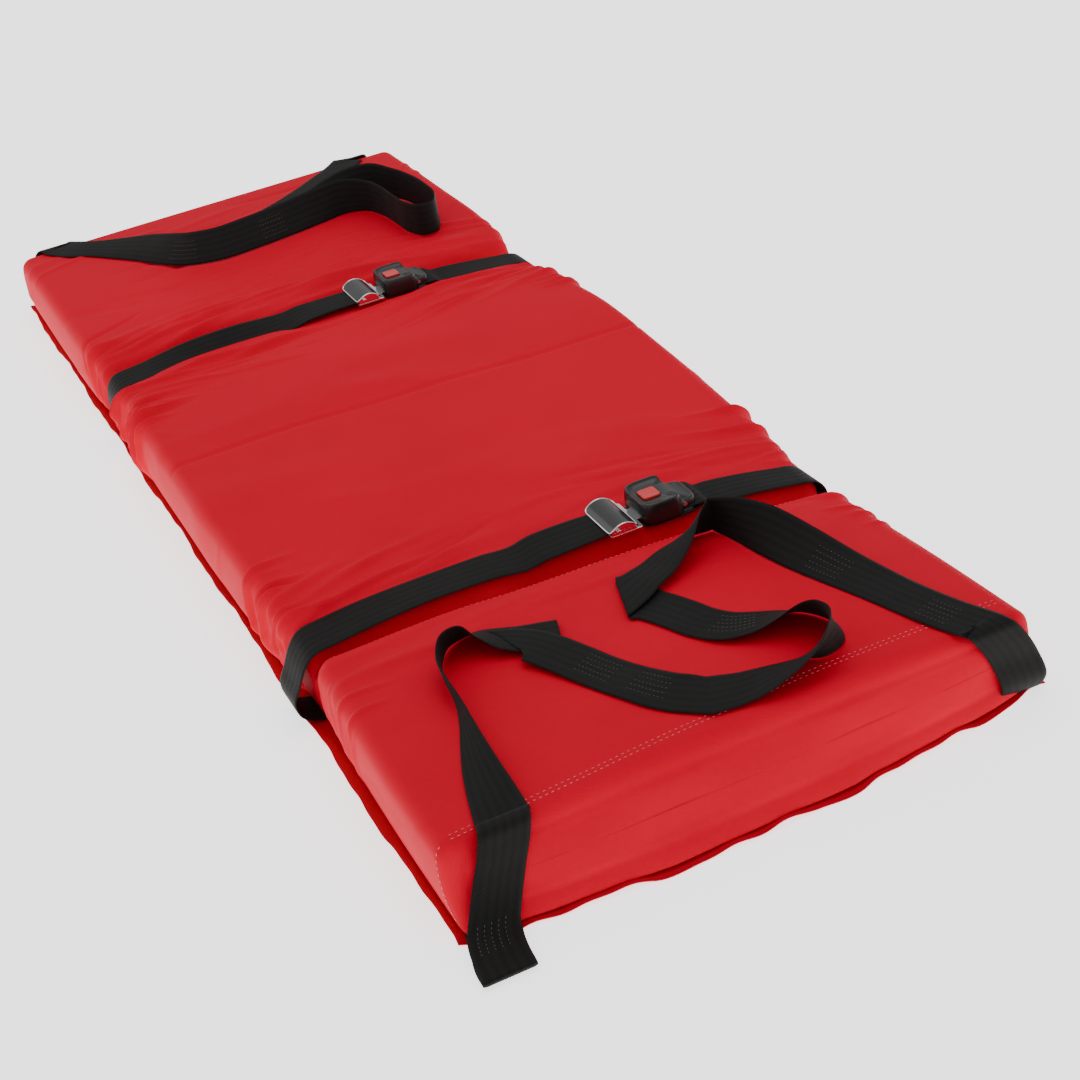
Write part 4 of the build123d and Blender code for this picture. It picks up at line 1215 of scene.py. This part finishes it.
class Paint:
    """One material and its node tree."""

    def __init__(self, name):
        self.material = bpy.data.materials.new(name)
        self.material.use_nodes = True
        self.tree = self.material.node_tree
        self.shader = next(n for n in self.tree.nodes if n.type == "BSDF_PRINCIPLED")

    def plug(self, socket, value):
        """Links a wire to an input, or sets a number or colour on it."""
        if isinstance(value, Wire):
            self.tree.links.new(value.socket, socket)
        else:
            socket.default_value = value

    def node(self, kind, settings=None, inputs=None, output=0):
        """Adds a node: its settings first, then its inputs by name or number."""
        made = self.tree.nodes.new(kind)
        for key, value in (settings or {}).items():
            setattr(made, key, value)
        for key, value in (inputs or {}).items():
            self.plug(made.inputs[key], value)
        return Wire(self, made.outputs[output])

    def noise(self, scale, detail=3.0):
        """Noise that runs over the object."""
        place = self.node("ShaderNodeTexCoord", output="Object")
        inputs = {"Vector": place, "Scale": scale, "Detail": detail, "Roughness": 0.55}
        return self.node("ShaderNodeTexNoise", {}, inputs, "Fac")

    def wave(self, direction, scale):
        """Bands that run across the piece's own cloth map, 0 to 1."""
        place = self.node("ShaderNodeTexCoord", output="UV")
        inputs = {"Vector": place, "Scale": scale}
        return self.node("ShaderNodeTexWave", {"bands_direction": direction}, inputs, "Fac")

    def set(self, **values):
        """Sets or links inputs of the main shader; names use _ for a space."""
        for key, value in values.items():
            self.plug(self.shader.inputs[key.replace("_", " ")], value)

    def bump(self, height, strength, distance):
        self.plug(self.shader.inputs["Normal"], self.node(
            "ShaderNodeBump", {}, {"Height": height, "Strength": strength, "Distance": distance}, "Normal"
        ))

    def mix(self, factor, low, high):
        """A colour between low and high."""
        return self.node("ShaderNodeMix", {"data_type": "RGBA"}, {0: factor, 6: (*low, 1), 7: (*high, 1)}, 2)


# %% [markdown]
# ## Finishes
# Coated cloth: deep red with a soft, slightly waxy gloss and a weave too fine to see except as a
# broken highlight. Webbing: near black, ribbed along its length with a slanting twill. Chrome,
# lacquer and moulded plastic each get faint handling marks so that no surface is one flat value.


# %% Finishes
WEAVE_SCALE, RIB_SCALE, TWILL_SCALE = 330.0, 34.0, 190.0


def red_cloth(name, deep, bright, gloss):
    """Coated cloth: cloudy colour, fine plain weave bump, uneven gloss."""
    paint = Paint(name)
    cloud = paint.noise(5.0, 4.0)
    fine = paint.noise(160.0, 3.0)
    warp, weft = paint.wave("X", WEAVE_SCALE), paint.wave("Y", WEAVE_SCALE)
    tone = cloud * 0.75 + fine * 0.25
    paint.set(Base_Color=paint.mix(tone, deep, bright), Roughness=gloss + fine * 0.10 + cloud * 0.06)
    paint.set(Specular_IOR_Level=0.07, Specular_Tint=(1.0, 0.5, 0.52, 1.0))
    paint.bump(warp * 0.4 + weft * 0.4 + fine * 0.5, 0.22, 0.0004)
    return paint.material


def black_webbing(name):
    """Woven webbing: ribs along its length, twill across, and dusty high spots."""
    paint = Paint(name)
    ribs, twill = paint.wave("X", RIB_SCALE), paint.wave("DIAGONAL", TWILL_SCALE)
    cloud = paint.noise(30.0, 4.0)
    wear = ribs * 0.35 + twill * 0.35 + cloud * 0.30
    tone = paint.mix(wear, (0.0025, 0.0022, 0.002), (0.011, 0.0098, 0.009))
    paint.set(Base_Color=tone, Roughness=0.62 + cloud * 0.2)
    paint.set(Sheen_Weight=0.02, Sheen_Roughness=0.5, Specular_IOR_Level=0.18)
    paint.bump(ribs * 0.7 + twill * 0.5, 0.35, 0.0006)
    return paint.material


def hard_finish(name, low, high, metallic, rough, coat=0.0, scale=60.0, bump=0.03):
    """Metal or moulding: two close tones in a fine cloud, uneven gloss and faint marks."""
    paint = Paint(name)
    cloud = paint.noise(scale, 4.0)
    marks = paint.noise(scale * 9, 2.0)
    paint.set(Base_Color=paint.mix(cloud, low, high), Roughness=rough + marks * 0.10)
    paint.set(Metallic=metallic, Coat_Weight=coat, Coat_Roughness=0.12)
    paint.bump(marks, bump, 0.0003)
    return paint.material


FINISH = {
    "skin": red_cloth("red_cover_cloth", (0.57, 0.0, 0.017), (0.78, 0.0, 0.028), 0.56),
    "ground": red_cloth("red_base_cloth", (0.44, 0.0, 0.012), (0.60, 0.0, 0.020), 0.58),
    "webbing": black_webbing("black_webbing"),
    # painted highlight: the pale pink thread is lighter than the cloth, so the stitch rows also paint the highlight
    # along the seam ridges and rims
    "thread": hard_finish("pale_thread", (0.80, 0.18, 0.22), (0.95, 0.34, 0.36), 0.0, 0.6, scale=400.0),
    "dark_thread": hard_finish(
        "dark_thread", (0.045, 0.041, 0.038), (0.085, 0.079, 0.074), 0.0, 0.5, scale=400.0
    ),
    "chrome": hard_finish("bright_chrome", (0.74, 0.74, 0.75), (0.86, 0.86, 0.86), 1.0, 0.08),
    "lacquer": hard_finish("black_lacquer", (0.006, 0.006, 0.007), (0.013, 0.013, 0.014), 0.0, 0.26, 0.22),
    "moulding": hard_finish("black_moulding", (0.005, 0.005, 0.005), (0.012, 0.011, 0.010), 0.0, 0.30, 0.12),
    "steel": hard_finish("zinc_steel", (0.42, 0.42, 0.40), (0.58, 0.57, 0.54), 1.0, 0.32),
    "button": hard_finish("red_button", (0.62, 0.012, 0.014), (0.80, 0.03, 0.03), 0.0, 0.30, 0.2),
}


def finish_with(obj, finish, slot):
    """Gives a piece its material and names the slot it is taken from."""
    obj.data.materials.clear()
    obj.data.materials.append(FINISH[finish])
    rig.slot(obj, slot)


# %% [markdown]
# ## Every piece on its body
# Each skin length and ground sheet length bends between two panels, over a short reach to either
# side of its fold line. The three skin lengths are padded: they stand for the covers and the foam.

# %% Attach skins and sheets
BEND_REACH = 0.036
BENDS = {
    "head": ("torso_panel", "head_panel"),
    "middle": ("leg_panel", "torso_panel"),
    "foot": ("foot_panel", "leg_panel"),
}
CLEARED = {
    "head": ["head_cover", "head_foam"],
    "middle": ["torso_cover", "torso_foam"],
    "foot": ["foot_cover", "foot_foam", "leg_cover", "leg_foam"],
}
GROUND = {
    "head": ["head_base_sheet"],
    "middle": ["torso_base_sheet"],
    "foot": ["foot_base_sheet", "leg_base_sheet"],
}
for part, (low_body, high_body) in BENDS.items():
    fold_y = FOLDS["mid" if part == "middle" else part]
    cover, ground = skins[f"{part}_skin"], sheets[f"{part}_ground_sheet"]
    finish_with(cover, "skin", "red_cover_cloth")
    finish_with(ground, "ground", "red_base_cloth")
    for piece in (cover, ground):
        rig.blend(piece, low_body, high_body, start=(0, fold_y - BEND_REACH, 0), end=(0, fold_y + BEND_REACH, 0))
    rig.padded(cover, fill=0.85)
    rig.replaces(cover, *CLEARED[part])
    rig.replaces(ground, *GROUND[part])
    corners = np.zeros(len(ground.data.vertices) * 3, np.float32)
    ground.data.vertices.foreach_get("co", corners)
    size = np.ptp(corners.reshape(-1, 3), axis=0)
    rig.sheet(ground, flat=(round(float(size[0]), 3), round(float(size[1]), 3)), held="laid", rests_on=[cover])

# %% [markdown]
# ## Webbing and hardware on their bodies
# A long belt follows its tongue set at one end and the panel at the other, so it draws up along its
# length as the tongue slides. Short belts, carry straps, buckle shells and stitches ride one panel,
# button caps ride the buttons and chrome rims ride the tongue sets.

# %% Attach webbing and hardware
BELT_BODY = {"chest": "torso_panel", "leg": "leg_panel"}
BELT_SKIN = {"chest": skins["head_skin"], "leg": skins["foot_skin"]}
for node, piece in belts.items():
    belt = node.split("_")[0]
    if node.endswith("long"):
        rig.blend(
            piece, BELT_BODY[belt], f"{belt}_tongue_set", start=(-0.29, 0, 0), end=(TONGUE_START_X - 0.002, 0, 0)
        )
    else:
        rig.ride(piece, BELT_BODY[belt])
    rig.replaces(piece, node)
    finish_with(piece, "webbing", "black_webbing")
    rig.sheet(piece, flat=(WEBBING_WIDTH, piece["length_m"]), held="laid", rests_on=[BELT_SKIN[belt]])
for node, piece in straps.items():
    end = node.split("_")[0]
    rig.ride(piece, f"{end}_panel")
    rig.replaces(piece, node)
    finish_with(piece, "webbing", "black_webbing")
    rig.sheet(piece, flat=(WEBBING_WIDTH, piece["length_m"]), held="laid", rests_on=[skins[f"{end}_skin"]])
for belt in BELT_Y:
    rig.ride(hardware[f"{belt}_shell"], BELT_BODY[belt])
    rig.replaces(hardware[f"{belt}_shell"], f"{belt}_buckle_housing_top")
    finish_with(hardware[f"{belt}_shell"], "moulding", "black_moulding")
    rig.ride(hardware[f"{belt}_cap"], f"{belt}_button_body")
    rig.replaces(hardware[f"{belt}_cap"], f"{belt}_button")
    finish_with(hardware[f"{belt}_cap"], "button", "red_button_plastic")
    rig.ride(hardware[f"{belt}_rim"], f"{belt}_tongue_set")
    finish_with(hardware[f"{belt}_rim"], "chrome", "chrome_plate")
# the pale stitch rows carry the painted seam and rim highlight as well as the stitching
for stitches in (foot_stitches, fold_stitches):
    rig.ride(stitches, "foot_panel")
    finish_with(stitches, "thread", "red_cover_cloth")
for end, stitches in strap_stitches.items():
    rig.ride(stitches, f"{end}_panel")
    finish_with(stitches, "dark_thread", "black_webbing")

# %% [markdown]
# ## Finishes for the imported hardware
# The tongue sets and the buckles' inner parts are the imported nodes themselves, in better materials.

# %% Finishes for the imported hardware
NODE_FINISH = {
    "tongue_plate": "chrome", "tongue_bracket": "chrome", "locking_bar": "chrome",
    "tongue_cover_plate": "lacquer", "buckle_housing_bottom": "moulding", "buckle_frame": "steel",
    "anchor_bar": "steel", "latch": "steel", "button_spring": "steel",
}
for belt in BELT_Y:
    for ending, finish in NODE_FINISH.items():
        node = frame["nodes"][f"{belt}_{ending}"]
        for slot in node.material_slots:
            slot.material = FINISH[finish]

# %% [markdown]
# ## Floor and light
# The mat is lit like a catalogue product: a pale floor that glows a little of its own, a bright even
# surround, one big soft light overhead and a second low at the far left for the cloth's gloss.

# %% Stage
FLOOR_HALF, FLOOR_DROP = 9.0, 0.0004
FLOOR_GLOW, WORLD_STRENGTH = 1.7, 0.70
corner_signs = ((-1, -1), (1, -1), (1, 1), (-1, 1))
floor_corners = [[x * FLOOR_HALF, y * FLOOR_HALF, -FLOOR_DROP] for x, y in corner_signs]
floor = make_object("floor", floor_corners, [[0, 1, 2, 3]], smooth=False)
pale = Paint("pale_floor")
pale.set(Base_Color=pale.mix(pale.noise(3.0), (0.90, 0.90, 0.90), (0.94, 0.94, 0.94)), Roughness=0.9)
pale.set(Emission_Color=(1, 1, 1, 1), Emission_Strength=FLOOR_GLOW)
floor.data.materials.append(pale.material)
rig.stage(floor)

world = bpy.data.worlds.new("studio")
bpy.context.scene.world = world
world.use_nodes = True
world.node_tree.nodes["Background"].inputs[0].default_value = (1.0, 1.0, 1.0, 1)
world.node_tree.nodes["Background"].inputs[1].default_value = WORLD_STRENGTH


def soft_light(name, place, target, size, power):
    """A square area light at place that looks at target."""
    light = bpy.data.lights.new(name, "AREA")
    light.size = size
    light.energy = power
    obj = bpy.data.objects.new(name, light)
    away = unit(np.array(place) - np.array(target))
    aside = unit(np.cross([0.0, 1.0, 0.01], away))
    obj.matrix_world = placing(aside, np.cross(away, aside), away, place)
    bpy.context.collection.objects.link(obj)


soft_light("overhead", (0.3, 0.2, 2.8), (0, 0, 0), 2.4, 22)
soft_light("far_left", (-2.2, 2.2, 1.6), (0, 0.2, 0), 1.6, 9)

# %% [markdown]
# ## Sizes and the finish line
# The finished model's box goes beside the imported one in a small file, so that growth is easy to see.

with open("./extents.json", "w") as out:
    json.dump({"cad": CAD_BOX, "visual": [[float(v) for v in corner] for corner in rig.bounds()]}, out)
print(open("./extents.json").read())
